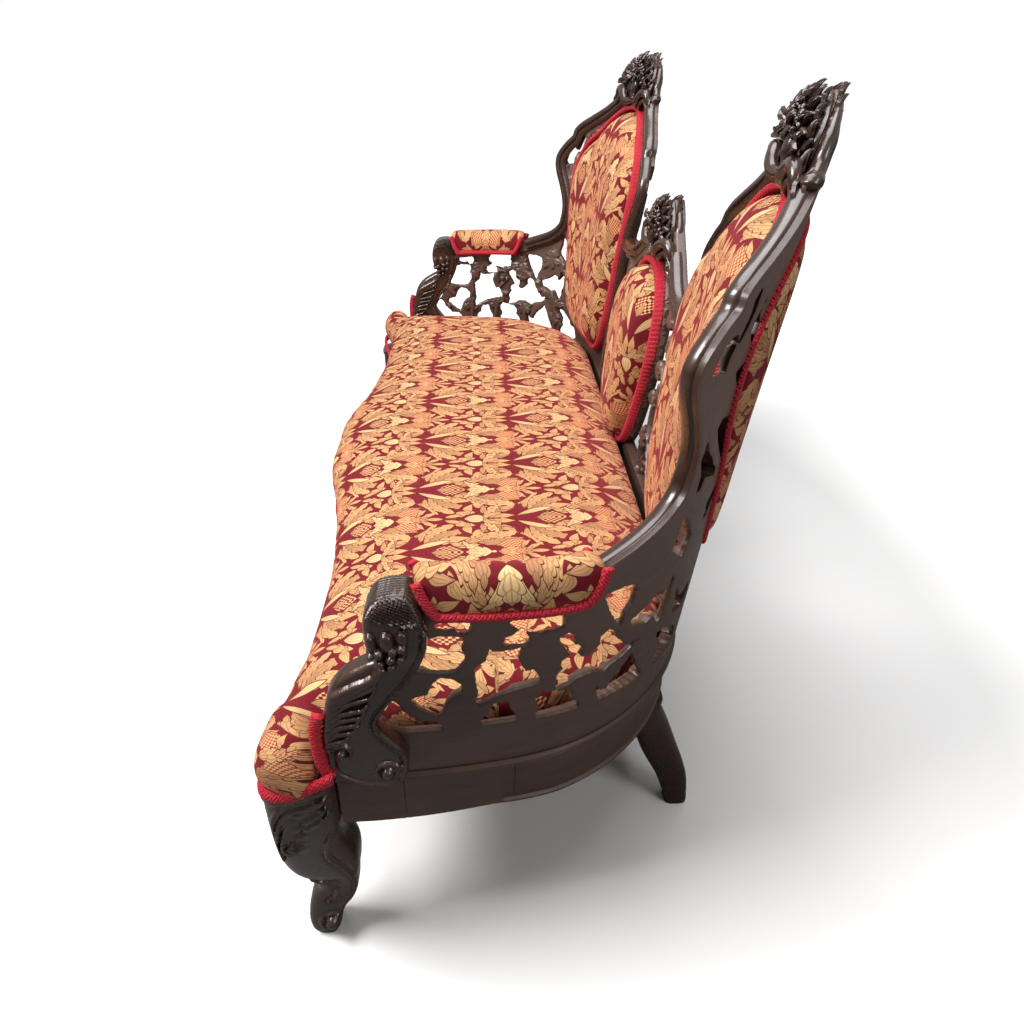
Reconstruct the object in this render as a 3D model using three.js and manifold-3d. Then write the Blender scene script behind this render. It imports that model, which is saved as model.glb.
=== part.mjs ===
// A three-backed settee of bent laminated wood, pierced and carved, with an upholstered seat.
// Millimetres, +Z up, the sitter looks along -Y, and the sitter's left is +X.
// The back and arms are one bent wall. It is drawn flat first, with s along the wall from the
// middle, z up and n outward from its outer face, and is then bent to the plan of the settee.
import * as THREE from 'three';
import { mergeVertices } from 'three/addons/utils/BufferGeometryUtils.js';
import Module from 'manifold-3d';

const wasm = await Module();
wasm.setup();

// Driving dimensions

const wall = {
  straightHalf: 500,
  cornerRadius: 340,
  cornerTurnDeg: 75,
  armRadius: 1000,
  armTurnDeg: 15,
  rearY: 254,
  datumZ: 280,
  thickness: 20,
  flareDeg: 7,
  flareRun: 345,
  leanStartZ: 700,
  leanRise: 480,
  leanBack: 39,
  leanFullS: 500,
  leanEndS: 830,
};
const facet = { cornerStrips: 10, armStrips: 4, leanStrips: 8 };
const glueGap = 0.6;
const jointGap = 0.3;
const overrun = 5;

const rail = {
  topZ: 364.7,
  bottomZ: 258,
  frontBottomZ: 280,
  thickness: 24,
  riseStartS: 900,
  riseEndS: 1100,
  endS: 1205,
};
const tall = { axisS: 545, halfWidth: 252, waistZ: 776, topZ: 1100, innerS: 322 };
const centre = { halfWidth: 322, shoulderZ: 787, topZ: 905 };
const arm = { waistS: 763, topZ: 655, endS: 1190, padSeatZ: 634, padStartS: 862, padEndS: 1062 };
const fret = { sillZ: 440, topZ: 632, startS: 672, endS: 1132 };
const moulding = { width: 28, height: 7, beadHeight: 5, hollowHeight: 3, inset: 1, stopZ: 470 };
const pad = { crown: 58, rearCrown: 14, rearShare: 0.88 };
const tallPad = { halfWidth: 180, bottomZ: 480, topZ: 1036 };
const centrePad = { halfWidth: 120, bottomZ: 458, topZ: 812 };
const braid = { width: 6, height: 7, gap: 0.5 };
const crest = { halfWidth: 64, footZ: 1050, tipZ: 1160, back: 12, boss: 15 };
const centreCrest = { halfWidth: 70, footZ: 826, tipZ: 940, back: 11, boss: 14 };
const vase = { radius: 14, height: 62, lift: 6 };
const post = { innerX: 841, width: 54, frontY: -260, depth: 140, bottomZ: 365.4, height: 312, bevel: 5 };
const armPad = { outer: 14, inner: 36, topZ: 702, endRound: 20, sideDraw: 4, crown: 22, trimHeight: 12 };
const seat = {
  frontY: -377,
  cornerX: 912,
  cornerBackY: -272,
  valleyY: -316,
  bottomZ: 306,
  lipZ: 331,
  topZ: 477,
  wallEndS: 1100,
  lipInset: 12,
  crownInset: 168,
  spineHalf: 560,
  spineY: -40,
};
const lobe = { innerX: 800, frontY: -345, topZ: 459, round: 24 };
const frontRail = { halfLength: 797, thickness: 30, bottomZ: 266, topZ: 330.4, bevel: 4 };
const seatBraid = { height: 13.5, thickness: 5 };
const frontLeg = { x: 843.5, y: -308, height: 330.4, halfWidth: 45.5, halfDepth: 49.5 };
const rearLeg = { x: 615, y: 212, height: 257.6, halfWidth: 25, halfDepth: 24 };
const brace = { x: 300, width: 45, height: 38, topZ: 302 };
const block = { startS: 710, endS: 820, depth: 30, topZ: 300, frontX: 745, backY: -245 };
const web = {
  bottomZ: 302.3, topZ: 305.3, strap: 50, halfLength: 778, frontY: -262, backY: 226,
  lengthwise: 3, crosswise: 8, cornerHalf: 560, cornerBackY: 100, inlay: 0.5,
};

const materials = {
  wood: { color: 0x33201a, roughness: 0.38, metalness: 0 },
  damask: { color: 0xb0703f, roughness: 0.85, metalness: 0 },
  braid: { color: 0xa3122a, roughness: 0.9, metalness: 0 },
  frame: { color: 0x7a5a3c, roughness: 0.8, metalness: 0 },
  webbing: { color: 0x9a8460, roughness: 0.95, metalness: 0 },
};

// The bent wall

const cornerTurn = THREE.MathUtils.degToRad(wall.cornerTurnDeg);
const armTurn = THREE.MathUtils.degToRad(wall.armTurnDeg);
const flareSlope = Math.tan(THREE.MathUtils.degToRad(wall.flareDeg));
const cornerLength = wall.cornerRadius * cornerTurn;
const armLength = wall.armRadius * armTurn;
const cornerEndS = wall.straightHalf + cornerLength;
const wallEndS = cornerEndS + armLength;

// The wall is bent in flat strips, so that what is glued to it meets it strip by strip.
const bendLines = [];
for (let i = 0; i < facet.cornerStrips; i++) {
  bendLines.push(wall.straightHalf + (cornerLength * i) / facet.cornerStrips);
}
for (let i = 0; i <= facet.armStrips; i++) {
  bendLines.push(cornerEndS + (armLength * i) / facet.armStrips);
}
const leanLines = [];
for (let i = 0; i <= facet.leanStrips; i++) {
  leanLines.push(wall.leanStartZ + (wall.leanRise * i) / facet.leanStrips);
}

const uprights = [...bendLines, ...bendLines.map(line => -line)];

function smoothShare(value) {
  const share = THREE.MathUtils.clamp(value, 0, 1);
  return share * share * (3 - 2 * share);
}

// How far back the wall leans above its straight lower part, straight between the lean lines.
function leanBack(z) {
  const quadratic = height => wall.leanBack * ((height - wall.leanStartZ) / wall.leanRise) ** 2;
  if (z <= wall.leanStartZ) return 0;
  const step = wall.leanRise / facet.leanStrips;
  const below = wall.leanStartZ + step * Math.floor((z - wall.leanStartZ) / step);
  return THREE.MathUtils.lerp(quadratic(below), quadratic(below + step), (z - below) / step);
}

function bendOnLine(s, z, n) {
  const side = new THREE.Vector2();
  let turn = 0;
  if (s <= wall.straightHalf) {
    side.set(s, wall.rearY);
  } else if (s <= cornerEndS) {
    turn = (s - wall.straightHalf) / wall.cornerRadius;
    side.set(wall.straightHalf, wall.rearY - wall.cornerRadius);
    side.add(new THREE.Vector2(Math.sin(turn), Math.cos(turn)).multiplyScalar(wall.cornerRadius));
  } else {
    turn = cornerTurn + (s - cornerEndS) / wall.armRadius;
    const inward = wall.cornerRadius - wall.armRadius;
    side.set(wall.straightHalf, wall.rearY - wall.cornerRadius);
    side.add(new THREE.Vector2(Math.sin(cornerTurn), Math.cos(cornerTurn)).multiplyScalar(inward));
    side.add(new THREE.Vector2(Math.sin(turn), Math.cos(turn)).multiplyScalar(wall.armRadius));
  }
  const flare = flareSlope * smoothShare((wallEndS - s) / wall.flareRun) * (z - wall.datumZ);
  const lean = leanBack(z) * smoothShare((wall.leanEndS - s) / (wall.leanEndS - wall.leanFullS));
  const out = n + flare + lean;
  return new THREE.Vector3(side.x + Math.sin(turn) * out, side.y + Math.cos(turn) * out, z);
}

function bendPoint(s, z, n) {
  const along = Math.abs(s);
  let point = bendOnLine(along, z, n);
  for (let i = 0; i + 1 < bendLines.length; i++) {
    if (along <= bendLines[i] || along >= bendLines[i + 1]) continue;
    const share = (along - bendLines[i]) / (bendLines[i + 1] - bendLines[i]);
    point = bendOnLine(bendLines[i], z, n).lerp(bendOnLine(bendLines[i + 1], z, n), share);
  }
  if (s < 0) point.x = -point.x;
  return point;
}

// Mesh helpers

const weldDistance = 0.004;
const snapDistance = 0.05;
const nearSteps = [-1, 0, 1];
const nearCells = nearSteps.flatMap(i => nearSteps.flatMap(j => nearSteps.map(k => [i, j, k])));

function positionsOnly(geometry) {
  const bare = geometry.clone();
  bare.deleteAttribute('normal');
  bare.deleteAttribute('uv');
  return mergeVertices(bare);
}

function toManifold(geometry) {
  const merged = positionsOnly(geometry);
  return new wasm.Manifold(new wasm.Mesh({
    numProp: 3,
    vertProperties: Float32Array.from(merged.attributes.position.array),
    triVerts: Uint32Array.from(merged.index.array),
  }));
}

function fromManifold(solid) {
  const mesh = solid.getMesh();
  const geometry = new THREE.BufferGeometry();
  const array = Float32Array.from(mesh.vertProperties);
  geometry.setAttribute('position', new THREE.BufferAttribute(array, 3));
  geometry.setIndex(Array.from(mesh.triVerts));
  return geometry;
}

function join(geometries) {
  return fromManifold(geometries.map(toManifold).reduce((sum, solid) => sum.add(solid)));
}

function cut(geometry, tools) {
  const whole = toManifold(geometry);
  return fromManifold(tools.map(toManifold).reduce((rest, tool) => rest.subtract(tool), whole));
}

// The largest body of what a cut leaves.
function largest(geometry) {
  const bodies = toManifold(geometry).decompose();
  return fromManifold(bodies.reduce((best, body) => (body.volume() > best.volume() ? body : best)));
}

function solidFrom(points, faces) {
  const geometry = new THREE.BufferGeometry();
  const array = points.flatMap(point => point.toArray());
  geometry.setAttribute('position', new THREE.Float32BufferAttribute(array, 3));
  geometry.setIndex(faces.flat());
  return geometry;
}

function turnInsideOut(geometry) {
  const order = geometry.index.array;
  for (let i = 0; i < order.length; i += 3) [order[i], order[i + 1]] = [order[i + 1], order[i]];
  return geometry;
}

// Turns the faces of a closed body outward where its volume comes out negative.
function facingOut(geometry) {
  const solid = positionsOnly(geometry);
  const order = solid.index.array;
  const corner = i => new THREE.Vector3().fromBufferAttribute(solid.attributes.position, order[i]);
  let volume = 0;
  for (let i = 0; i < solid.index.count; i += 3) {
    volume += corner(i).cross(corner(i + 1)).dot(corner(i + 2));
  }
  return volume < 0 ? turnInsideOut(solid) : solid;
}

function mirrored(geometry) {
  return turnInsideOut(geometry.clone().scale(-1, 1, 1));
}

// Merges corners that lie closer than the weld distance and drops the faces that this closes up.
function weld(points, faces) {
  const kept = [];
  const cells = new Map();
  const cellOf = value => Math.floor(value / weldDistance);
  const index = points.map(point => {
    const [i, j, k] = point.toArray().map(cellOf);
    for (const [di, dj, dk] of nearCells) {
      for (const old of cells.get(`${i + di} ${j + dj} ${k + dk}`) ?? []) {
        if (kept[old].distanceTo(point) < weldDistance) return old;
      }
    }
    const key = `${i} ${j} ${k}`;
    cells.set(key, [...(cells.get(key) ?? []), kept.length]);
    return kept.push(point) - 1;
  });
  const welded = faces.map(face => face.map(corner => index[corner]));
  return solidFrom(kept, welded.filter(([x, y, z]) => x !== y && y !== z && z !== x));
}

// Splits each face whose edge on a line passes a corner of the neighbouring strip.
function matchEdges(solid, axis, lines) {
  const array = solid.attributes.position.array;
  const points = [];
  for (let i = 0; i < array.length; i += 3) points.push(new THREE.Vector3().fromArray(array, i));
  const isOn = (point, line) => Math.abs(point[axis] - line) < weldDistance;
  const onLine = lines.map(line => points.map((p, i) => i).filter(i => isOn(points[i], line)));
  const lineOf = points.map((p, i) => onLine.findIndex(list => list.includes(i)));
  const waiting = [];
  for (let i = 0; i < solid.index.count; i += 3) {
    waiting.push([0, 1, 2].map(k => solid.index.array[i + k]));
  }
  const faces = [];
  while (waiting.length > 0) {
    const face = waiting.pop();
    let between = -1;
    let turn = 0;
    for (; turn < 3; turn++) {
      const [u, v] = [face[turn], face[(turn + 1) % 3]];
      if (lineOf[u] < 0 || lineOf[u] !== lineOf[v]) continue;
      const edge = new THREE.Line3(points[u], points[v]);
      const nearest = new THREE.Vector3();
      between = onLine[lineOf[u]].find(w => w !== u && w !== v
        && edge.closestPointToPoint(points[w], true, nearest).distanceTo(points[w]) < weldDistance) ?? -1;
      if (between >= 0) break;
    }
    if (between < 0) {
      faces.push(face);
    } else {
      const [u, v, w] = [0, 1, 2].map(k => face[(turn + k) % 3]);
      waiting.push([u, between, w], [between, v, w]);
    }
  }
  return solidFrom(points, faces);
}

// Divides a flat-drawn solid along the upright and the level lines, so that it can bend there. Each
// cell is cut out by itself, and the cells are put together again without the faces between them.
function score(geometry, lines) {
  const box = new THREE.Box3().setFromBufferAttribute(geometry.attributes.position);
  box.expandByScalar(overrun);
  const inside = axis => lines[axis].filter(line => line > box.min[axis] && line < box.max[axis]);
  const endsOf = axis => [box.min[axis], ...inside(axis).toSorted((a, b) => a - b), box.max[axis]];
  const ends = { x: endsOf('x'), y: endsOf('y') };
  const whole = toManifold(geometry);
  const points = [];
  const faces = [];
  for (let i = 0; i + 1 < ends.x.length; i++) {
    for (let j = 0; j + 1 < ends.y.length; j++) {
      const cell = box.clone();
      [cell.min.x, cell.max.x] = [ends.x[i], ends.x[i + 1]];
      [cell.min.y, cell.max.y] = [ends.y[j], ends.y[j + 1]];
      const size = cell.getSize(new THREE.Vector3());
      const knife = new THREE.BoxGeometry(size.x, size.y, size.z);
      knife.translate(...cell.getCenter(new THREE.Vector3()).toArray());
      const piece = fromManifold(whole.intersect(toManifold(knife)));
      const start = points.length;
      const array = piece.attributes.position.array;
      for (let k = 0; k < array.length; k += 3) points.push(new THREE.Vector3().fromArray(array, k));
      for (let k = 0; k < piece.index.count; k += 3) {
        const face = [0, 1, 2].map(c => start + piece.index.array[k + c]);
        const between = ['x', 'y'].some(axis => inside(axis).some(
          line => face.every(at => Math.abs(points[at][axis] - line) < weldDistance)));
        if (!between) faces.push(face);
      }
    }
  }
  return matchEdges(matchEdges(weld(points, faces), 'x', inside('x')), 'y', inside('y'));
}

// Bends a solid drawn flat in s, z and n.
function bend(geometry) {
  const flat = facingOut(geometry);
  const drawn = flat.attributes.position;
  const snap = (value, lines) => lines.find(line => Math.abs(value - line) < snapDistance) ?? value;
  for (let i = 0; i < drawn.count; i++) {
    drawn.setX(i, snap(drawn.getX(i), uprights));
    drawn.setY(i, snap(drawn.getY(i), leanLines));
  }
  const solid = score(flat, { x: uprights, y: leanLines });
  const position = solid.attributes.position;
  for (let i = 0; i < position.count; i++) {
    const point = bendPoint(position.getX(i), position.getY(i), position.getZ(i));
    position.setXYZ(i, point.x, point.y, point.z);
  }
  return facingOut(solid);
}

// A flat board between two depths, from a closed outline and its openings.
function board(outline, openings, inner, outer) {
  const plate = new THREE.ExtrudeGeometry(new THREE.Shape(outline), {
    depth: outer - inner, bevelEnabled: false,
  });
  const cutters = openings.map(points => new THREE.ExtrudeGeometry(new THREE.Shape(points), {
    depth: outer - inner + 2 * overrun, bevelEnabled: false,
  }).translate(0, 0, inner - overrun));
  plate.translate(0, 0, inner);
  return cutters.length > 0 ? cut(plate, cutters) : positionsOnly(plate);
}

function spline(points, pieces) {
  return new THREE.SplineCurve(points).getPoints(pieces);
}

// Joins rings of equal point counts into one closed body. Rings run anticlockwise seen from above.
function loft(rings) {
  const count = rings[0].length;
  const points = rings.flat();
  const faces = [];
  for (let r = 0; r + 1 < rings.length; r++) {
    for (let i = 0; i < count; i++) {
      const next = (i + 1) % count;
      const [a, b] = [r * count + i, r * count + next];
      faces.push([a, b, b + count], [a, b + count, a + count]);
    }
  }
  const planOf = ring => ring.map(p => new THREE.Vector2(p.x, p.y));
  const capOf = ring => THREE.ShapeUtils.triangulateShape(planOf(ring), []);
  const last = (rings.length - 1) * count;
  for (const [a, b, c] of capOf(rings[0])) faces.push([c, b, a]);
  for (const [a, b, c] of capOf(rings.at(-1))) faces.push([last + a, last + b, last + c]);
  return solidFrom(points, faces);
}

// Turns a solid drawn in s, n and z to the order s, z, n in which the wall is drawn.
function fromPlan(geometry) {
  geometry.applyMatrix4(new THREE.Matrix4().makeBasis(
    new THREE.Vector3(1, 0, 0), new THREE.Vector3(0, 0, 1), new THREE.Vector3(0, 1, 0)));
  return geometry;
}

// Sweeps a section of [inward, n] points along a flat path. Inward is to the left of the path.
function sweepFlat(path, section, closed) {
  const rings = path.map((point, i) => {
    const before = closed ? path.at(i - 1) : path[Math.max(i - 1, 0)];
    const after = closed ? path[(i + 1) % path.length] : path[Math.min(i + 1, path.length - 1)];
    const along = after.clone().sub(before).normalize();
    return section.map(([inward, n]) => new THREE.Vector3(
      point.x - along.y * inward, point.y + along.x * inward, n));
  });
  const count = section.length;
  const faces = [];
  const runs = closed ? rings.length : rings.length - 1;
  for (let r = 0; r < runs; r++) {
    const next = ((r + 1) % rings.length) * count;
    for (let i = 0; i < count; i++) {
      const j = (i + 1) % count;
      faces.push([r * count + i, next + j, r * count + j], [r * count + i, next + i, next + j]);
    }
  }
  if (!closed) {
    const last = (rings.length - 1) * count;
    const outline = section.map(([inward, n]) => new THREE.Vector2(inward, n));
    const cap = THREE.ShapeUtils.triangulateShape(outline, []);
    for (const [a, b, c] of cap) faces.push([a, b, c], [last + c, last + b, last + a]);
  }
  return solidFrom(rings.flat(), faces);
}

const settee = new THREE.Group();

function add(name, geometry, material) {
  const mesh = new THREE.Mesh(geometry, new THREE.MeshStandardMaterial(materials[material]));
  mesh.name = name;
  settee.add(mesh);
}

function addPair(name, geometry, material) {
  add(`left_${name}`, geometry, material);
  add(`right_${name}`, mirrored(geometry), material);
}

// Outlines of the two tall backs, from the top middle down one side to the waist, as shares of the
// half width and of the height from the waist to the top.
const tallEdgeShares = [
  [0, 0.98], [0.15, 1], [0.24, 0.96], [0.33, 0.89], [0.46, 0.805], [0.64, 0.72], [0.745, 0.667],
  [0.835, 0.565], [0.9, 0.512], [0.98, 0.426], [1, 0.352], [0.975, 0.265], [0.925, 0.17], [0.885, 0.08],
  [0.865, 0],
];
const notchIndex = 7;

function tallEdge(side) {
  const height = tall.topZ - tall.waistZ;
  const points = tallEdgeShares.map(([across, up]) => new THREE.Vector2(
    tall.axisS + side * across * tall.halfWidth, tall.waistZ + up * height));
  const crestRun = spline(points.slice(0, notchIndex + 1), 9);
  const waistRun = spline(points.slice(notchIndex), 9);
  return [...crestRun, ...waistRun.slice(1)];
}

// Top of the arm from the waist of the tall back forward to the post, as shares of its run and drop.
const armTopShares = [[0.02, 0.79], [0.06, 0.62], [0.12, 0.5], [0.2, 0.38], [0.34, 0.22]];
const armTop = armTopShares.map(([along, up]) => new THREE.Vector2(
  THREE.MathUtils.lerp(arm.waistS, arm.padEndS, along),
  THREE.MathUtils.lerp(arm.topZ, tall.waistZ, up)));
const armSpline = spline([tallEdge(1).at(-1), ...armTop], 8);
const armRun = armSpline.slice(1).filter(point => point.x < arm.padStartS);

// Openings of the pierced vine, each as shares of the fret's length and height.
const fretShares = [
  [[0.99, 0], [0.98, 0.31], [0.94, 0.42], [0.905, 0.4], [0.87, 0.25], [0.84, 0.17], [0.835, 0]],
  [[0.735, 0], [0.725, 0.15], [0.69, 0.3], [0.66, 0.3], [0.645, 0.18], [0.635, 0]],
  [[0.585, 0], [0.575, 0.16], [0.565, 0.28], [0.525, 0.3], [0.485, 0.14], [0.46, 0]],
  [[0.4, 0], [0.38, 0.08], [0.33, 0.29], [0.285, 0.32], [0.25, 0.14], [0.215, 0]],
  [[0.16, 0], [0.15, 0.3], [0.105, 0.34], [0.05, 0.15], [0.01, 0]],
  [[0.91, 0.29], [0.895, 0.4], [0.85, 0.46], [0.795, 0.45], [0.79, 0.36], [0.83, 0.2]],
  [[0.905, 0.52], [0.87, 0.76], [0.83, 0.84], [0.78, 0.81], [0.775, 0.56], [0.85, 0.5]],
  [
    [0.74, 0.3], [0.755, 0.47], [0.7, 0.6], [0.675, 0.66], [0.64, 0.64], [0.635, 0.5], [0.58, 0.44],
    [0.575, 0.34], [0.64, 0.32], [0.7, 0.22],
  ],
  [[0.69, 0.74], [0.67, 0.88], [0.53, 0.88], [0.525, 0.76], [0.57, 0.7], [0.61, 0.78]],
  [
    [0.53, 0.28], [0.54, 0.66], [0.5, 0.7], [0.46, 0.48], [0.4, 0.52], [0.375, 0.66], [0.345, 0.52],
    [0.315, 0.38], [0.4, 0.24], [0.48, 0.22],
  ],
  [[0.415, 0.99], [0.42, 0.8], [0.37, 0.66], [0.32, 0.78], [0.3, 0.93], [0.34, 1]],
  [[0.25, 0.8], [0.17, 0.82], [0.16, 0.62], [0.19, 0.46], [0.23, 0.58]],
];
const fretOpenings = fretShares.map(points => points.map(([along, up]) => new THREE.Vector2(
  THREE.MathUtils.lerp(fret.startS, fret.endS, along), THREE.MathUtils.lerp(fret.sillZ, fret.topZ, up))));

// Slots between the tall pad and the rim, as shares of the half width and of the height of the pad.
const slotShares = [
  [[0.86, 0.79], [0.78, 0.8], [0.76, 0.7], [0.86, 0.64], [0.92, 0.72]],
  [[0.83, 0.6], [0.76, 0.63], [0.74, 0.5], [0.79, 0.47]],
  [[0.8, 0.38], [0.7, 0.42], [0.7, 0.33], [0.78, 0.29]],
];
const lowSlotShares = [
  [[-0.83, 0.24], [-0.72, 0.24], [-0.66, 0.14], [-0.7, 0.05], [-0.84, 0.08]],
  [[-0.84, 0.02], [-0.7, 0.01], [-0.6, -0.06], [-0.84, -0.06]],
];
function tallSlots(shares, sides) {
  const place = (side, across, up) => new THREE.Vector2(
    tall.axisS + side * across * tall.halfWidth,
    THREE.MathUtils.lerp(tallPad.bottomZ, tallPad.topZ, up));
  return sides.flatMap(side => shares.map(
    points => points.map(([across, up]) => place(side, across, up))));
}

// Side walls: an arm and a tall back bent from one lamination.
const sideOutline = [
  new THREE.Vector2(tall.innerS + jointGap, rail.topZ + jointGap),
  new THREE.Vector2(arm.endS, rail.topZ + jointGap),
  new THREE.Vector2(arm.endS, arm.padSeatZ),
  new THREE.Vector2(arm.padStartS, arm.padSeatZ),
  ...armRun.toReversed(),
  ...tallEdge(1).toReversed(),
  ...tallEdge(-1).slice(1),
  new THREE.Vector2(tall.innerS + jointGap, tall.waistZ - moulding.width),
];

// The arm post is drawn from the side, as shares of its depth (from the front) and its height.
const postShares = [
  [0.12, 0], [0.56, 0], [0.72, 0.03], [0.8, 0.09], [0.79, 0.16], [0.7, 0.22], [0.52, 0.27], [0.53, 0.35],
  [0.66, 0.43], [0.8, 0.52], [0.9, 0.64], [0.96, 0.77], [0.955, 0.87], [0.89, 0.95], [0.74, 1],
  [0.56, 0.98], [0.46, 0.9], [0.46, 0.8], [0.56, 0.71], [0.62, 0.66], [0.5, 0.6], [0.3, 0.53],
  [0.12, 0.42], [0, 0.28], [0.01, 0.14],
];
function postShape(grow) {
  const points = postShares.map(([back, up]) => new THREE.Vector2(
    post.frontY + back * post.depth, post.bottomZ + up * post.height));
  return new THREE.Shape(points.map((point, i) => {
    const along = points[(i + 1) % points.length].clone().sub(points.at(i - 1)).normalize();
    return new THREE.Vector2(point.x + along.y * grow, point.y - along.x * grow);
  }));
}

// Turns a solid drawn in y, z and thickness so that it stands in the settee.
function standUp(geometry) {
  geometry.applyMatrix4(new THREE.Matrix4().makeBasis(
    new THREE.Vector3(0, 1, 0), new THREE.Vector3(0, 0, 1), new THREE.Vector3(1, 0, 0)));
  return positionsOnly(geometry);
}

function makePost() {
  const body = new THREE.ExtrudeGeometry(postShape(-post.bevel), {
    depth: post.width - 2 * post.bevel,
    bevelThickness: post.bevel,
    bevelSize: post.bevel,
    bevelSegments: 1,
  });
  body.translate(0, 0, post.innerX + post.bevel);
  const trim = new THREE.BoxGeometry(post.depth * 2, post.depth, post.width * 2);
  trim.translate(post.frontY, post.bottomZ - post.depth / 2, post.innerX + post.width / 2);
  return standUp(cut(body, [trim]));
}

function postRoom() {
  const room = new THREE.ExtrudeGeometry(postShape(glueGap), {
    depth: post.width * 3, bevelEnabled: false,
  });
  return standUp(room.translate(0, 0, post.innerX - post.width));
}

const sideBoard = board(sideOutline, [
  ...fretOpenings, ...tallSlots(slotShares, [1, -1]), ...tallSlots(lowSlotShares, [1]),
], -wall.thickness, 0);
addPair('side_wall', largest(cut(bend(sideBoard), [postRoom()])), 'wood');
addPair('arm_post', makePost(), 'wood');

// Centre back, with its pierced sides.
const centreEdgeShares = [
  [0, 1], [0.12, 0.97], [0.24, 0.78], [0.4, 0.52], [0.58, 0.2], [0.76, 0.04], [1, 0],
];
function centreEdge(side) {
  const half = centre.halfWidth - jointGap;
  return spline(centreEdgeShares.map(([across, up]) => new THREE.Vector2(
    side * across * half, THREE.MathUtils.lerp(centre.shoulderZ, centre.topZ, up))), 12);
}
const centreSlotShares = [
  [[0.46, 0.84], [0.6, 0.9], [0.62, 0.76], [0.5, 0.72]],
  [[0.68, 0.9], [0.9, 0.92], [0.9, 0.76], [0.72, 0.74]],
  [[0.48, 0.66], [0.6, 0.68], [0.66, 0.56], [0.58, 0.48], [0.46, 0.52]],
  [[0.72, 0.66], [0.9, 0.68], [0.9, 0.52], [0.76, 0.48]],
  [[0.44, 0.44], [0.56, 0.4], [0.6, 0.3], [0.5, 0.22], [0.4, 0.3]],
  [[0.68, 0.42], [0.9, 0.44], [0.9, 0.3], [0.76, 0.26]],
  [[0.4, 0.16], [0.56, 0.16], [0.66, 0.04], [0.38, 0.04]],
  [[0.7, 0.2], [0.9, 0.2], [0.9, 0.04], [0.76, 0.04]],
];
const centreSlot = (side, points) => points.map(([across, up]) => new THREE.Vector2(
  side * across * centre.halfWidth, THREE.MathUtils.lerp(fret.sillZ, centre.shoulderZ, up)));
const centreOpenings = [1, -1].flatMap(side => centreSlotShares.map(points => centreSlot(side, points)));
const centreOutline = [
  new THREE.Vector2(-centre.halfWidth + jointGap, rail.topZ + jointGap),
  new THREE.Vector2(centre.halfWidth - jointGap, rail.topZ + jointGap),
  ...centreEdge(1).toReversed(),
  ...centreEdge(-1).slice(1),
];
add('centre_back', bend(board(centreOutline, centreOpenings, -wall.thickness, 0)), 'wood');

// Rim mouldings: a double bead glued to the front of the wall along its edge.
const frontN = -wall.thickness - glueGap;
const rimShares = { bead: 0.22, hollow: 0.5, step: 0.8 };
const rimSection = [
  [moulding.inset, frontN],
  [moulding.inset, frontN - moulding.beadHeight],
  [moulding.width * rimShares.bead, frontN - moulding.height],
  [moulding.width * rimShares.hollow, frontN - moulding.hollowHeight],
  [moulding.width * rimShares.step, frontN - moulding.beadHeight],
  [moulding.width, frontN],
];
const boxBetween = (x0, x1, y0, y1, z0, z1) => new THREE.BoxGeometry(x1 - x0, y1 - y0, z1 - z0)
  .translate((x0 + x1) / 2, (y0 + y1) / 2, (z0 + z1) / 2);

// The room that a crest takes out of the mouldings beside it.
function crestRoom(size, axisS) {
  const half = size.halfWidth + glueGap;
  const below = size.footZ - tall.halfWidth;
  return boxBetween(axisS - half, axisS + half, below, size.tipZ, frontN - tall.halfWidth, 0);
}

const innerFoot = [
  new THREE.Vector2(tall.innerS + jointGap, tall.waistZ - moulding.width),
  new THREE.Vector2(tall.innerS + jointGap, moulding.stopZ),
];
const outerRim = sweepFlat([...tallEdge(1), ...armRun].toReversed(), rimSection, false);
const innerRim = sweepFlat([...tallEdge(-1), ...innerFoot], rimSection, false);
const centreRim = sweepFlat(centreEdge(1).toReversed(), rimSection, false);
addPair('outer_rim', bend(cut(facingOut(outerRim), [crestRoom(crest, tall.axisS)])), 'wood');
addPair('inner_rim', bend(cut(facingOut(innerRim), [crestRoom(crest, tall.axisS)])), 'wood');
addPair('centre_rim', bend(cut(facingOut(centreRim), [crestRoom(centreCrest, 0)])), 'wood');

// Upholstered panels, crowned, with drawn-in sides and a braid around each.
const tallPadShares = [
  [0, 0], [0.36, 0.005], [0.64, 0.05], [0.83, 0.15], [0.93, 0.3], [0.955, 0.5], [0.98, 0.62], [1, 0.71],
  [0.93, 0.8], [0.78, 0.865], [0.6, 0.915], [0.44, 0.965], [0.22, 0.995], [0, 1],
];
const centrePadShares = [
  [0, 0], [0.3, 0.02], [0.58, 0.1], [0.8, 0.26], [0.94, 0.48], [1, 0.68], [0.93, 0.83], [0.7, 0.94],
  [0.4, 0.99], [0, 1],
];
function padOutline(shares, axisS, size, share, pieces) {
  const middleZ = (size.bottomZ + size.topZ) / 2;
  const place = (across, up) => new THREE.Vector2(axisS + across * size.halfWidth * share,
    middleZ + (THREE.MathUtils.lerp(size.bottomZ, size.topZ, up) - middleZ) * share);
  const right = spline(shares.map(([across, up]) => place(across, up)), pieces);
  const left = right.slice(1, -1).toReversed().map(p => new THREE.Vector2(2 * axisS - p.x, p.y));
  return [...right, ...left];
}

// Rings as [share of the outline, share of the crown], from the seat on the wall to the top.
const padRingShares = [[0.94, 0], [0.97, 0.14], [0.95, 0.42], [0.84, 0.78], [0.55, 0.96]];
function makePad(outline, seatN, direction, crown) {
  const middle = outline.reduce((sum, p) => sum.add(p), new THREE.Vector2()).divideScalar(outline.length);
  return loft(padRingShares.map(([share, up]) => outline.map(point => {
    const flat = middle.clone().lerp(point, share);
    return new THREE.Vector3(flat.x, flat.y, seatN + direction * up * crown);
  })));
}

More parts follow.
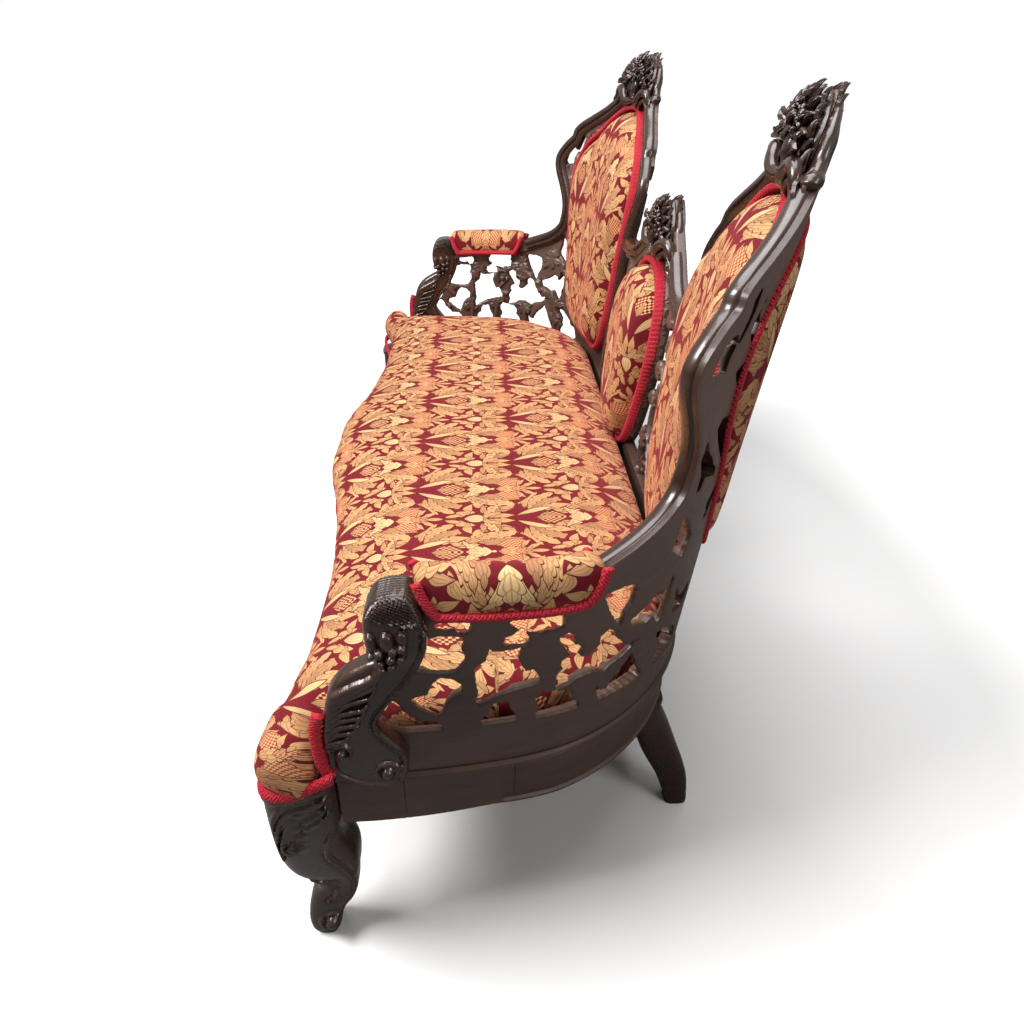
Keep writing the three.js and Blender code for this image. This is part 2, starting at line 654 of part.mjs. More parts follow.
function addPanel(name, shares, axisS, size, paired) {
  const faces = [
    { where: 'front', seatN: frontN, direction: -1, crown: pad.crown, share: 1 },
    { where: 'rear', seatN: glueGap, direction: 1, crown: pad.rearCrown, share: pad.rearShare },
  ];
  for (const face of faces) {
    const outline = padOutline(shares, axisS, size, face.share, 13);
    const fabric = bend(makePad(outline, face.seatN, face.direction, face.crown));
    const edgeN = face.seatN + face.direction * braid.height;
    const trim = bend(sweepFlat(outline, [
      [-braid.gap, face.seatN], [-braid.gap, edgeN], [-braid.width, edgeN], [-braid.width, face.seatN],
    ], true));
    if (paired) {
      addPair(`${face.where}_${name}_pad`, fabric, 'damask');
      addPair(`${face.where}_${name}_braid`, trim, 'braid');
    } else {
      add(`${face.where}_${name}_pad`, fabric, 'damask');
      add(`${face.where}_${name}_braid`, trim, 'braid');
    }
  }
}
addPanel('tall', tallPadShares, tall.axisS, tallPad, true);
addPanel('centre', centrePadShares, 0, centrePad, false);

// Crests: a leafy backing board with a vase and a mass of fruit and flowers in front of it.
const crestShares = [
  [0, 0], [0.3, 0.04], [0.6, 0], [0.88, 0.1], [1, 0.27], [0.84, 0.4], [0.93, 0.5], [0.74, 0.62],
  [0.58, 0.68], [0.64, 0.8], [0.42, 0.84], [0.32, 0.95], [0.15, 0.93], [0, 1],
];
const bossShares = [
  [0.74, 0.24, 0.9], [0.42, 0.5, 0.95], [0.3, 0.74, 0.8], [0, 0.66, 1.1], [0.36, 0.2, 0.7],
];
const vaseShares = [
  [0, 0], [0.5, 0.02], [0.35, 0.14], [0.9, 0.34], [1, 0.55], [0.55, 0.78], [0.8, 0.94], [0, 1],
];
const boss = { around: 6, up: 5 };

function makeCrest(size, axisS) {
  const place = (side, across, up) => new THREE.Vector2(
    axisS + side * across * size.halfWidth, THREE.MathUtils.lerp(size.footZ, size.tipZ, up));
  const right = crestShares.map(([across, up]) => place(1, across, up));
  const left = crestShares.slice(1, -1).toReversed().map(([across, up]) => place(-1, across, up));
  const bodies = [board([...right, ...left], [], frontN - size.back, frontN)];
  for (const [across, up, scale] of bossShares) {
    for (const side of across === 0 ? [1] : [1, -1]) {
      const radius = size.boss * scale;
      const spot = place(side, across, up);
      const ball = new THREE.SphereGeometry(radius, boss.around, boss.up);
      bodies.push(ball.translate(spot.x, spot.y, frontN - radius));
    }
  }
  const turned = new THREE.LatheGeometry(vaseShares.map(([out, up]) => new THREE.Vector2(
    out * vase.radius, up * vase.height)), boss.around);
  bodies.push(turned.translate(axisS, size.footZ + vase.lift, frontN - vase.radius));
  return bend(join(bodies));
}
addPair('crest', makeCrest(crest, tall.axisS), 'wood');
add('centre_crest', makeCrest(centreCrest, 0), 'wood');

// Arm pads with the braid round their lower edge.
const padStart = arm.padStartS + 2 * glueGap + seatBraid.thickness;
const padLevelShares = [[0, 1], [0.2, 0.3], [0.5, 0]];
const padTopShares = [[0.78, 0.3], [0.94, 0.68], [1, 1]];

function roundedPlan(sides, inset) {
  const [x0, x1] = [sides.low.x + inset, sides.high.x - inset];
  const [y0, y1] = [sides.low.y + inset, sides.high.y - inset];
  const radius = Math.min(sides.round, (y1 - y0) / 2 - jointGap);
  const shape = new THREE.Shape();
  shape.moveTo(x0 + radius, y0);
  shape.absarc(x1 - radius, y0 + radius, radius, -Math.PI / 2, 0);
  shape.absarc(x1 - radius, y1 - radius, radius, 0, Math.PI / 2);
  shape.absarc(x0 + radius, y1 - radius, radius, Math.PI / 2, Math.PI);
  shape.absarc(x0 + radius, y0 + radius, radius, Math.PI, Math.PI * 1.5);
  return shape.getPoints(3).filter((p, i, all) => p.distanceTo(all.at(i - 1)) > jointGap);
}

const armSides = {
  low: new THREE.Vector2(padStart, -armPad.inner),
  high: new THREE.Vector2(arm.padEndS, armPad.outer),
  round: armPad.endRound,
};
const padBottomZ = arm.padSeatZ + glueGap;
const padLevel = (inset, up) => {
  const level = THREE.MathUtils.lerp(padBottomZ, armPad.topZ, up);
  return roundedPlan(armSides, inset).map(point => new THREE.Vector3(point.x, point.y, level));
};
const armPadRings = [
  ...padLevelShares.map(([up, draw]) => padLevel(draw * armPad.sideDraw, up)),
  ...padTopShares.map(([up, draw]) => padLevel(draw * armPad.crown, up)),
];
addPair('arm_pad', bend(fromPlan(loft(armPadRings))), 'damask');
const trimOut = -glueGap - seatBraid.thickness;
const padTrim = sweepFlat(roundedPlan(armSides, 0), [
  [-glueGap, padBottomZ], [trimOut, padBottomZ],
  [trimOut, padBottomZ + armPad.trimHeight], [-glueGap, padBottomZ + armPad.trimHeight],
], true);
addPair('arm_braid', bend(fromPlan(padTrim)), 'braid');

// Seat outline from the front middle to the post, as shares of the corner's reach sideways and of
// the depth from behind the corner to the front. The second table is its underside inside the rails.
const seatFrontShares = [
  [0, 0.98], [0.078, 1], [0.151, 0.933], [0.286, 0.657], [0.441, 0.495], [0.557, 0.419], [0.686, 0.429],
  [0.774, 0.457], [0.873, 0.552], [0.905, 0.5], [0.917, 0.4], [0.917, 0.2], [0.917, -0.02],
];
const seatUnderShares = [
  [0, 0.55], [0.078, 0.57], [0.151, 0.5], [0.286, 0.22], [0.441, 0.06], [0.557, -0.015], [0.686, -0.005],
  [0.774, 0.025], [0.855, 0.08], [0.864, 0], [0.866, -0.1], [0.876, -0.22], [0.9, -0.22],
];
const seatRun = shares => shares.map(([across, forward]) => new THREE.Vector2(
  across * seat.cornerX, THREE.MathUtils.lerp(seat.cornerBackY, seat.frontY, forward)));
const seatFront = seatRun(seatFrontShares);

function mirroredRing(half) {
  return [...half, ...half.slice(1, -1).toReversed().map(p => new THREE.Vector3(-p.x, p.y, p.z))];
}

const seatWallS = [seat.wallEndS, ...bendLines.filter(line => line < seat.wallEndS).toReversed(), 0];

function seatRing(shares, z, depth, inset) {
  const onWall = seatWallS.map(s => bendPoint(s, z, -depth - glueGap));
  const half = [...seatRun(shares).map(p => new THREE.Vector3(p.x, p.y, z)), ...onWall];
  return mirroredRing(half).map(point => {
    const spineX = THREE.MathUtils.clamp(point.x, -seat.spineHalf, seat.spineHalf);
    const inward = new THREE.Vector3(spineX, seat.spineY, point.z).sub(point);
    return point.clone().add(inward.setLength(inset));
  });
}

// Rings above the lip, as [share of the height above it, share of the deepest inset].
const seatSideShares = [[0.12, 0.07], [0.36, 0.02], [0.68, 0]];
const seatTopShares = [[0.76, 0.05], [0.85, 0.18], [0.93, 0.42], [0.98, 0.72], [1, 1]];
const seatLevel = up => THREE.MathUtils.lerp(seat.lipZ, seat.topZ, up);
const seatRings = [
  seatRing(seatUnderShares, seat.bottomZ, rail.thickness, 0),
  seatRing(seatUnderShares, seat.lipZ, rail.thickness, 0),
  seatRing(seatFrontShares, seat.lipZ, rail.thickness, seat.lipInset),
  ...seatSideShares.map(([up, share]) => seatRing(
    seatFrontShares, seatLevel(up), rail.thickness, share * seat.crownInset)),
  ...seatTopShares.map(([up, share]) => seatRing(
    seatFrontShares, seatLevel(up), wall.thickness, share * seat.crownInset)),
];

// The front corners of the cushion reach sideways past the posts, over the legs.
const lobeSides = {
  low: new THREE.Vector2(lobe.innerX, lobe.frontY),
  high: new THREE.Vector2(seat.cornerX, seat.cornerBackY),
  round: lobe.round,
};
const lobeShares = [[0, 1], [0.12, 1], [0.4, 0.25], [0.75, 0], [0.88, 0.7], [0.96, 1.5], [1, 2.4]];
const lobeLevel = (up, inset) => {
  const level = THREE.MathUtils.lerp(seat.lipZ, lobe.topZ, up);
  const ring = roundedPlan(lobeSides, inset * seat.lipInset);
  return ring.map(point => new THREE.Vector3(point.x, point.y, level));
};
const lobeBody = facingOut(loft(lobeShares.map(([up, inset]) => lobeLevel(up, inset))));
const cushionBodies = [facingOut(loft(seatRings)), lobeBody, mirrored(lobeBody)];
add('seat_cushion', join(cushionBodies), 'damask');

const lipRing = seatRing(seatFrontShares, seat.lipZ, rail.thickness, seat.lipInset);
const lipEndX = lobe.innerX - seat.lipInset;
const lipFront = lipRing.slice(0, seatFront.length).filter(point => point.x < lipEndX);
const lobeLip = roundedPlan(lobeSides, seat.lipInset);
const lobeMiddleX = (lobe.innerX + seat.cornerX) / 2;
const lipHalf = [
  ...lipFront.map(point => new THREE.Vector2(point.x, point.y)),
  new THREE.Vector2(lobe.innerX + seat.lipInset + lobe.round, lobe.frontY + seat.lipInset),
  ...lobeLip.filter(point => point.x > lobeMiddleX),
];
const otherHalf = half => half.slice(1).toReversed().map(p => new THREE.Vector2(-p.x, p.y));
const lipPath = [...otherHalf(lipHalf), ...lipHalf];
const braidBottom = seat.lipZ + jointGap;
const braidTop = braidBottom + seatBraid.height;
add('seat_braid', facingOut(sweepFlat(lipPath, [
  [trimOut, braidBottom], [-glueGap, braidBottom], [-glueGap, braidTop], [trimOut, braidTop],
], false)), 'braid');

// Rails under the seat.
const frontRun = seatFront.filter(point => point.x < frontRail.halfLength);
const frontHalf = [...frontRun, frontRun.at(-2).clone().lerp(frontRun.at(-1), 2)];
const frontPath = [...otherHalf(frontHalf), ...frontHalf];
const railBack = seat.lipInset + frontRail.thickness;
const railBody = facingOut(sweepFlat(frontPath, [
  [seat.lipInset, frontRail.topZ],
  [seat.lipInset, frontRail.bottomZ + frontRail.bevel],
  [seat.lipInset + frontRail.bevel, frontRail.bottomZ],
  [railBack, frontRail.bottomZ],
  [railBack, frontRail.topZ],
], false));
const railEnd = boxBetween(
  frontRail.halfLength, 2 * seat.cornerX, 2 * seat.frontY, 0, 0, rail.topZ);
add('front_rail', cut(railBody, [railEnd, mirrored(railEnd)]), 'wood');

const sideRailOutline = [
  new THREE.Vector2(tall.innerS + jointGap, rail.bottomZ),
  new THREE.Vector2(rail.riseStartS, rail.bottomZ),
  new THREE.Vector2((rail.riseStartS + rail.riseEndS) / 2, (rail.bottomZ + rail.frontBottomZ) / 2),
  new THREE.Vector2(rail.riseEndS, rail.frontBottomZ),
  new THREE.Vector2(rail.endS, rail.frontBottomZ),
  new THREE.Vector2(rail.endS, rail.topZ),
  new THREE.Vector2(tall.innerS + jointGap, rail.topZ),
];
addPair('side_rail', bend(board(sideRailOutline, [], -rail.thickness, 0)), 'wood');
const backRailOutline = [
  new THREE.Vector2(-tall.innerS + jointGap, rail.bottomZ),
  new THREE.Vector2(tall.innerS - jointGap, rail.bottomZ),
  new THREE.Vector2(tall.innerS - jointGap, rail.topZ),
  new THREE.Vector2(-tall.innerS + jointGap, rail.topZ),
];
add('back_rail', bend(board(backRailOutline, [], -rail.thickness, 0)), 'wood');

// Legs, as levels of [share of the height, shift sideways, shift back, half width, half depth], the
// shifts and the sizes as shares of the half width and half depth at the top.
const frontLegShares = [
  [0, -0.25, -0.1, 0.44, 0.34], [0.05, -0.25, -0.1, 0.56, 0.46], [0.12, -0.25, -0.06, 0.6, 0.52],
  [0.2, -0.25, 0.08, 0.6, 0.58], [0.27, -0.25, 0.3, 0.6, 0.66], [0.34, -0.25, 0.49, 0.6, 0.6],
  [0.41, -0.23, 0.48, 0.64, 0.66], [0.5, -0.17, 0.26, 0.78, 0.98], [0.6, -0.12, 0.15, 0.86, 1.1],
  [0.72, -0.06, 0, 0.94, 1], [0.84, 0, 0, 1, 1], [1, 0, 0, 1, 1],
];
const rearLegShares = [
  [0, -0.1, 2.9, 0.78, 0.84], [0.06, -0.1, 2.85, 0.84, 0.88], [0.28, -0.06, 2.3, 0.84, 1.14],
  [0.52, -0.04, 1.25, 0.92, 1.32], [0.74, 0, 0.42, 1, 1.3], [0.91, 0, -0.16, 1, 1.16], [1, 0, 0, 1, 1],
];
const corner = { count: 16, sharpness: 0.55 };

function makeLeg(size, shares) {
  const bulge = value => Math.sign(value) * Math.abs(value) ** corner.sharpness;
  return facingOut(loft(shares.map(([up, aside, back, wide, deep]) => {
    const ring = [];
    for (let i = 0; i < corner.count; i++) {
      const turn = (2 * Math.PI * i) / corner.count;
      ring.push(new THREE.Vector3(
        size.x + (aside + wide * bulge(Math.cos(turn))) * size.halfWidth,
        size.y + (back + deep * bulge(Math.sin(turn))) * size.halfDepth,
        up * size.height));
    }
    return ring;
  })));
}
addPair('front_leg', makeLeg(frontLeg, frontLegShares), 'wood');
addPair('rear_leg', makeLeg(rearLeg, rearLegShares), 'wood');

// Seat frame: braces, corner blocks and webbing.
const insideBackY = bendPoint(brace.x, brace.topZ - brace.height, -rail.thickness - glueGap).y;
const railRoom = facingOut(sweepFlat(frontPath, [
  [0, rail.topZ], [0, 0], [railBack + glueGap, 0], [railBack + glueGap, rail.topZ],
], false));
const braceBody = boxBetween(
  brace.x - brace.width / 2, brace.x + brace.width / 2, seat.valleyY, insideBackY,
  brace.topZ - brace.height, brace.topZ);
addPair('brace', cut(braceBody, [railRoom]), 'frame');
const blockOutline = [
  new THREE.Vector2(block.startS, rail.bottomZ),
  new THREE.Vector2(block.endS, rail.bottomZ),
  new THREE.Vector2(block.endS, block.topZ),
  new THREE.Vector2(block.startS, block.topZ),
];
const blockFace = -rail.thickness - glueGap;
addPair('rear_block', bend(board(blockOutline, [], blockFace - block.depth, blockFace)), 'frame');
const frontBlock = boxBetween(
  block.frontX, frontRail.halfLength - glueGap, seat.valleyY, block.backY, frontRail.bottomZ, block.topZ);
addPair('front_block', cut(frontBlock, [railRoom]), 'frame');

const straps = [];
for (let i = 0; i < web.lengthwise; i++) {
  const along = i / (web.lengthwise - 1);
  const y = THREE.MathUtils.lerp(web.frontY + web.strap, web.backY - web.strap, along);
  const half = y > web.cornerBackY ? web.cornerHalf + web.strap : web.halfLength;
  straps.push(boxBetween(
    -half, half, y - web.strap / 2, y + web.strap / 2, web.bottomZ + web.inlay, web.topZ - web.inlay));
}
for (let i = 0; i < web.crosswise; i++) {
  const reach = web.halfLength - web.strap;
  const x = THREE.MathUtils.lerp(-reach, reach, i / (web.crosswise - 1));
  const back = Math.abs(x) > web.cornerHalf ? web.cornerBackY : web.backY;
  straps.push(boxBetween(
    x - web.strap / 2, x + web.strap / 2, web.frontY, back, web.bottomZ, web.topZ));
}
add('seat_webbing', join(straps), 'webbing');

// The middle of the settee stands over the origin.
const middleY = new THREE.Box3().setFromObject(settee).getCenter(new THREE.Vector3()).y;
for (const mesh of settee.children) mesh.geometry.translate(0, -middleY, 0);

export default settee;
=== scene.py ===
import math

import bpy
import bmesh
import numpy as np
from mathutils import Matrix, Vector


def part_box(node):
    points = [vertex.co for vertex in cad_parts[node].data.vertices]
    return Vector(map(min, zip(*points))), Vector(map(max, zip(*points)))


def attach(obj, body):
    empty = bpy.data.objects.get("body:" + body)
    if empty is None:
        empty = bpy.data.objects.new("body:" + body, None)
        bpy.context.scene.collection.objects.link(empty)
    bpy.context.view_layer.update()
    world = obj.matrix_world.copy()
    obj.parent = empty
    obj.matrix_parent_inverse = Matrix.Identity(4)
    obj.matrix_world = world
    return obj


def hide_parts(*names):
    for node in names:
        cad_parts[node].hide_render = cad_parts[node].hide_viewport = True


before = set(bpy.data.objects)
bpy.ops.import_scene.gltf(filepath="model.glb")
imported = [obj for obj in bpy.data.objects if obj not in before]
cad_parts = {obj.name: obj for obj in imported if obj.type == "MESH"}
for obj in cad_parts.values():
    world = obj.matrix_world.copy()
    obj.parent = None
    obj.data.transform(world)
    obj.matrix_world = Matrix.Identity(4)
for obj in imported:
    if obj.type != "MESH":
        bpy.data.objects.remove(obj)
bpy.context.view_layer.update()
scene = bpy.context.scene
mm = 0.001

# The curved wall that the back, the arms, the rails and the mouldings are bent to.
wall = {
    "straightHalf": 0.5,
    "cornerRadius": 0.34,
    "cornerTurn": math.radians(75),
    "armRadius": 1.0,
    "armTurn": math.radians(15),
    "rearY": 0.254,
    "middleY": 0.00195,
    "datumZ": 0.28,
    "thickness": 0.02,
    "flareSlope": math.tan(math.radians(7)),
    "flareRun": 0.345,
    "leanStartZ": 0.7,
    "leanRise": 0.48,
    "leanBack": 0.039,
    "leanEndS": 0.83,
    "leanRun": 0.33,
}
wallEnd = (
    wall["straightHalf"]
    + wall["cornerRadius"] * wall["cornerTurn"]
    + wall["armRadius"] * wall["armTurn"]
)


def smooth(value):
    share = np.clip(value, 0, 1)
    return share * share * (3 - 2 * share)


def bend(points):
    # points are rows of (s, z, n): along the wall, up, and outward from its rear face
    s, z, n = (np.asarray(points, float)[:, i] for i in range(3))
    side = np.where(s < 0, -1.0, 1.0)
    run = np.abs(s)
    cornerArc = wall["cornerRadius"] * wall["cornerTurn"]
    inCorner = np.clip(run - wall["straightHalf"], 0, cornerArc)
    inArm = np.clip(run - wall["straightHalf"] - cornerArc, 0, None)
    turn = inCorner / wall["cornerRadius"]
    centreY = wall["rearY"] - wall["cornerRadius"]
    x = np.minimum(run, wall["straightHalf"]) + wall["cornerRadius"] * np.sin(turn)
    y = centreY + wall["cornerRadius"] * np.cos(turn)
    armTurn = inArm / wall["armRadius"]
    full = turn + armTurn
    x = x + wall["armRadius"] * (np.sin(full) - np.sin(turn))
    y = y + wall["armRadius"] * (np.cos(full) - np.cos(turn))
    flare = wall["flareSlope"] * smooth((wallEnd - run) / wall["flareRun"]) * (z - wall["datumZ"])
    rise = np.clip((z - wall["leanStartZ"]) / wall["leanRise"], 0, None)
    lean = wall["leanBack"] * rise**2 * smooth((wall["leanEndS"] - run) / wall["leanRun"])
    out = n + flare + lean
    return np.stack(
        [side * (x + np.sin(full) * out), y + np.cos(full) * out - wall["middleY"], z], axis=1
    )


def smoothLoop(points, count, closed=True):
    # a smooth curve through the points, resampled to even steps
    pts = np.asarray(points, float)
    if closed:
        pts = np.vstack([pts[-1], pts, pts[0], pts[1]])
    else:
        pts = np.vstack([2 * pts[0] - pts[1], pts, 2 * pts[-1] - pts[-2]])
    t = np.linspace(0, 1, 16, endpoint=False)[:, None]
    parts = []
    for i in range(1, len(pts) - 2):
        a, b, c, d = pts[i - 1], pts[i], pts[i + 1], pts[i + 2]
        parts.append(
            0.5
            * (
                2 * b
                + (c - a) * t
                + (2 * a - 5 * b + 4 * c - d) * t**2
                + (3 * b - a - 3 * c + d) * t**3
            )
        )
    curve = np.vstack(parts + [pts[-2][None]])
    steps = np.r_[0, np.cumsum(np.linalg.norm(np.diff(curve, axis=0), axis=1))]
    at = np.linspace(0, steps[-1], count + 1 if closed else count)
    if closed:
        at = at[:-1]
    return np.stack([np.interp(at, steps, curve[:, i]) for i in range(pts.shape[1])], axis=1)


def mirrored(half):
    # a closed outline from its right half, listed from the top middle to the bottom middle
    pts = np.asarray(half, float)
    left = pts[1:-1][::-1] * [-1, 1]
    return np.vstack([pts, left])


def unit(rows):
    return rows / np.linalg.norm(rows, axis=1, keepdims=True)


def newMesh(name, verts, faces):
    mesh = bpy.data.meshes.new(name)
    mesh.from_pydata([tuple(v) for v in verts], [], faces)
    return mesh


def faceOutward(mesh, merge=True):
    bm = bmesh.new()
    bm.from_mesh(mesh)
    if merge:
        bmesh.ops.remove_doubles(bm, verts=bm.verts, dist=1e-6)
    bmesh.ops.recalc_face_normals(bm, faces=bm.faces)
    bm.to_mesh(mesh)
    bm.free()
    return mesh


def ringFaces(rows, size, closed=False):
    # quads between rings of one size, and the two ends of an open run
    faces = []
    for i in range(rows if closed else rows - 1):
        j = (i + 1) % rows
        for k in range(size):
            m = (k + 1) % size
            faces.append((i * size + k, i * size + m, j * size + m, j * size + k))
    if not closed:
        faces.append(tuple(range(size - 1, -1, -1)))
        faces.append(tuple((rows - 1) * size + k for k in range(size)))
    return faces


def finishPiece(name, mesh, node, material, sharp=40):
    mesh.shade_smooth()
    if sharp:
        mesh.set_sharp_from_angle(angle=math.radians(sharp))
    piece = bpy.data.objects.new(name, mesh)
    scene.collection.objects.link(piece)
    piece.data.materials.append(material)
    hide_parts(node)
    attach(piece, "root")
    return piece


sides = (("left", 1), ("right", -1))


# Materials. A term is a node socket that sums and multiplies like a number.
class Term:
    def __init__(self, tree, socket):
        self.tree = tree
        self.socket = socket

    def run(self, kind, *values, clamp=False):
        inputs = dict(enumerate((self,) + values))
        node = addNode(self.tree, "Math", inputs, operation=kind, use_clamp=clamp)
        return Term(self.tree, node.outputs[0])

    def __add__(self, other):
        return self.run("ADD", other)

    def __sub__(self, other):
        return self.run("SUBTRACT", other)

    def __mul__(self, other):
        return self.run("MULTIPLY", other)

    def mad(self, factor, addend, clamp=False):
        return self.run("MULTIPLY_ADD", factor, addend, clamp=clamp)


def setInputs(node, inputs):
    # by name or place: numbers, colours, terms or other nodes' sockets
    for place, value in inputs.items():
        socket = node.inputs[place]
        if isinstance(value, Term):
            value = value.socket
        if isinstance(value, bpy.types.NodeSocket):
            node.id_data.links.new(value, socket)
        else:
            socket.default_value = (*value, 1) if socket.type == "RGBA" else value


def addNode(tree, kind, inputs={}, **settings):
    node = tree.nodes.new("ShaderNode" + kind)
    for key, value in settings.items():
        setattr(node, key, value)
    setInputs(node, inputs)
    return node


def blankMaterial(name):
    material = bpy.data.materials.new(name)
    material.use_nodes = True
    tree = material.node_tree
    tree.nodes.clear()
    shader = addNode(tree, "BsdfPrincipled")
    addNode(tree, "OutputMaterial", {0: shader.outputs[0]})
    return material, tree, shader


def noiseTerm(tree, vector, scale, detail=4, roughness=0.55, distortion=0.0):
    node = addNode(tree, "TexNoise", {
        "Vector": vector, "Scale": scale, "Detail": detail, "Roughness": roughness,
        "Distortion": distortion,
    })
    return Term(tree, node.outputs["Fac"])


def objectPlace(tree, scale=(1, 1, 1)):
    place = addNode(tree, "TexCoord").outputs["Object"]
    return addNode(tree, "Mapping", {"Vector": place, "Scale": scale}).outputs[0]


def clothPlace(tree):
    return addNode(tree, "UVMap", uv_map="cloth").outputs[0]


def axes(tree, vector):
    parts = addNode(tree, "SeparateXYZ", {0: vector})
    return [Term(tree, part) for part in parts.outputs]


def ripple(value, length, kind="SINE"):
    return (value * (math.tau / length)).run(kind)


def ramp(tree, value, stops):
    node = addNode(tree, "ValToRGB", {0: value})
    bar = node.color_ramp
    for element, (place, colour) in zip(bar.elements, stops):
        element.position = place
        element.color = (*colour, 1)
    return node.outputs[0]


def mixColour(tree, share, low, high, kind="MIX"):
    inputs = {0: share, 6: low, 7: high}
    return addNode(tree, "Mix", inputs, data_type="RGBA", blend_type=kind).outputs[2]


def setRange(tree, value, *limits):
    # limits are low and high of what comes in, then of what goes out
    node = addNode(tree, "MapRange", dict(enumerate((value,) + limits)))
    return Term(tree, node.outputs[0])


def bumpFrom(tree, height, distance, strength=1.0):
    inputs = {"Height": height, "Distance": distance, "Strength": strength}
    return addNode(tree, "Bump", inputs).outputs[0]


# Polished dark wood. The grain runs along the object's axis that has the smallest scale.
woodTone = {
    "carved": ((0.016, 0.0066, 0.0042), (0.058, 0.024, 0.0155)),
    "panel": ((0.044, 0.0215, 0.0155), (0.108, 0.060, 0.046)),
    "frame": ((0.16, 0.09, 0.05), (0.33, 0.21, 0.12)),
    "sawn": ((0.022, 0.010, 0.007), (0.066, 0.034, 0.024)),
    # the pale tone that the panels fade to towards the top is a painted reflection
    "paintedReflection": (0.20, 0.125, 0.095),
    "strand": 0.0048,
}


def woodMaterial(name, tone, grainScale, rough, coat, gleam=0.5, comb=False, fade=0.0):
    material, tree, shader = blankMaterial(name)
    grain = noiseTerm(tree, objectPlace(tree, grainScale), 9, 6, 0.62, 0.35)
    blotch = noiseTerm(tree, objectPlace(tree), 5.5, 3, 0.5)
    worn = ramp(tree, blotch, ((0.3, (0.62, 0.62, 0.62)), (0.72, (1.25, 1.18, 1.12))))
    colour = mixColour(tree, 1.0, mixColour(tree, grain, *woodTone[tone]), worn, "MULTIPLY")
    if fade:
        # paler towards the top: a painted reflection, as the upper faces catch the bright room
        paintedReflection = setRange(tree, axes(tree, objectPlace(tree))[2], 0.50, 0.80, 0.0, fade)
        colour = mixColour(tree, paintedReflection, colour, woodTone["paintedReflection"])
    smear = noiseTerm(tree, objectPlace(tree), 38, 3, 0.6)
    pores = noiseTerm(tree, objectPlace(tree, tuple(6 * g for g in grainScale)), 30, 2, 0.5)
    depth = 0.00012
    if comb:
        # hair lines over the top of the arm post's head
        x, _, z = axes(tree, objectPlace(tree))
        facing = axes(tree, addNode(tree, "NewGeometry").outputs["Normal"])[2]
        strand = (x * (math.pi / woodTone["strand"])).run("SINE").run("ABSOLUTE")
        high = setRange(tree, z, 0.600, 0.630, 0.0, 1.0)
        upright = setRange(tree, facing, 0.20, 0.45, 0.0, 1.0)
        pores = pores * 0.1 + (strand * high) * upright
        depth = 0.0014
    setInputs(shader, {
        "Base Color": colour, "Roughness": setRange(tree, smear, 0.3, 0.7, *rough),
        "Coat Weight": coat, "Coat Roughness": 0.10, "Specular IOR Level": gleam,
        "Normal": bumpFrom(tree, pores, depth),
    })
    return material


carvedWood = woodMaterial("carvedWood", "carved", (1.2, 1.2, 9), (0.20, 0.34), 0.5)
postWood = woodMaterial("postWood", "carved", (1.2, 1.2, 9), (0.20, 0.34), 0.5, comb=True)
# the panels' fade paints a reflection on their upper faces
panelWood = woodMaterial("panelWood", "panel", (1.5, 1.5, 12), (0.34, 0.5), 0.24, fade=0.55)
railWood = woodMaterial("railWood", "panel", (1, 1, 14), (0.36, 0.52), 0.18, 0.45)
frameWood = woodMaterial("frameWood", "frame", (2, 12, 2), (0.55, 0.75), 0.0)
sawnWood = woodMaterial("sawnWood", "sawn", (6, 6, 2), (0.30, 0.45), 0.2, 0.35)

# The damask: one unit of the figure, drawn petal by petal and repeated in a half drop.
damask = {
    "width": 0.207,
    "length": 0.342,
    "line": 0.0013,
    "edge": 0.0005,
    "ground": (0.165, 0.0015, 0.010),
    "lineColour": (0.080, 0.011, 0.007),
    "gold": (0.76, 0.425, 0.185),
    "deepGold": (0.58, 0.300, 0.138),
    "pale": (0.88, 0.60, 0.29),
    "rose": (0.40, 0.070, 0.045),
}
# each petal: across, along, angle to the line, half length, half width, curve, tone, lobes
petals = (
    (17, 252, 25, 24, 9, 0.5, "gold", 3),
    (33, 262, 80, 18, 8, 0.7, "gold", 2),
    (44, 281, 150, 17, 7.5, 0.6, "gold", 2),
    (26, 291, 105, 20, 7, 0.4, "deepGold", 2),
    (9, 236, 12, 15, 5, 0.2, "gold", 0),
    (0, 276, 0, 20, 12, 0, "pale", 0),
    (20, 303, 70, 24, 11, -0.5, "gold", 3),
    (31, 318, 20, 18, 9, 0.5, "deepGold", 2),
    (44, 330, 55, 24, 9, -0.5, "gold", 3),
    (8, 318, 8, 20, 7, 0.2, "gold", 2),
    (72, 343, 88, 26, 10, 0.5, "gold", 4),
    (66, 362, 66, 34, 11, 0.45, "gold", 5),
    (62, 381, 50, 40, 12, 0.4, "gold", 5),
    (51, 396, 34, 42, 12, 0.35, "deepGold", 5),
    (36, 403, 18, 38, 10, 0.25, "gold", 4),
    (24, 372, 22, 34, 6, 0.15, "pale", 0),
    (20, 428, -8, 26, 9, -0.4, "gold", 3),
    (0, 402, 0, 26, 19, 0, "rose", 8),
    (0, 389, 0, 14, 7, 0, "deepGold", 0),
    (37, 444, 52, 32, 10, -0.3, "gold", 4),
    (44, 463, 38, 36, 11, -0.4, "gold", 5),
    (46, 484, 24, 36, 12, -0.45, "gold", 5),
    (29, 487, 10, 36, 12, -0.3, "deepGold", 4),
    (15, 441, -30, 24, 7, -0.7, "pale", 2),
    (0, 453, 0, 22, 15, 0, "pale", 3),
    (20, 503, 14, 24, 18, -0.4, "rose", 9),
    (0, 499, 0, 22, 13, 0, "gold", 3),
    (0, 522, 0, 18, 10, 0, "rose", 9),
    (14, 536, 32, 17, 5, 0.2, "gold", 2),
    (22, 522, 58, 15, 4.5, 0.3, "gold", 2),
    (0, 546, 0, 16, 5, 0, "gold", 0),
)
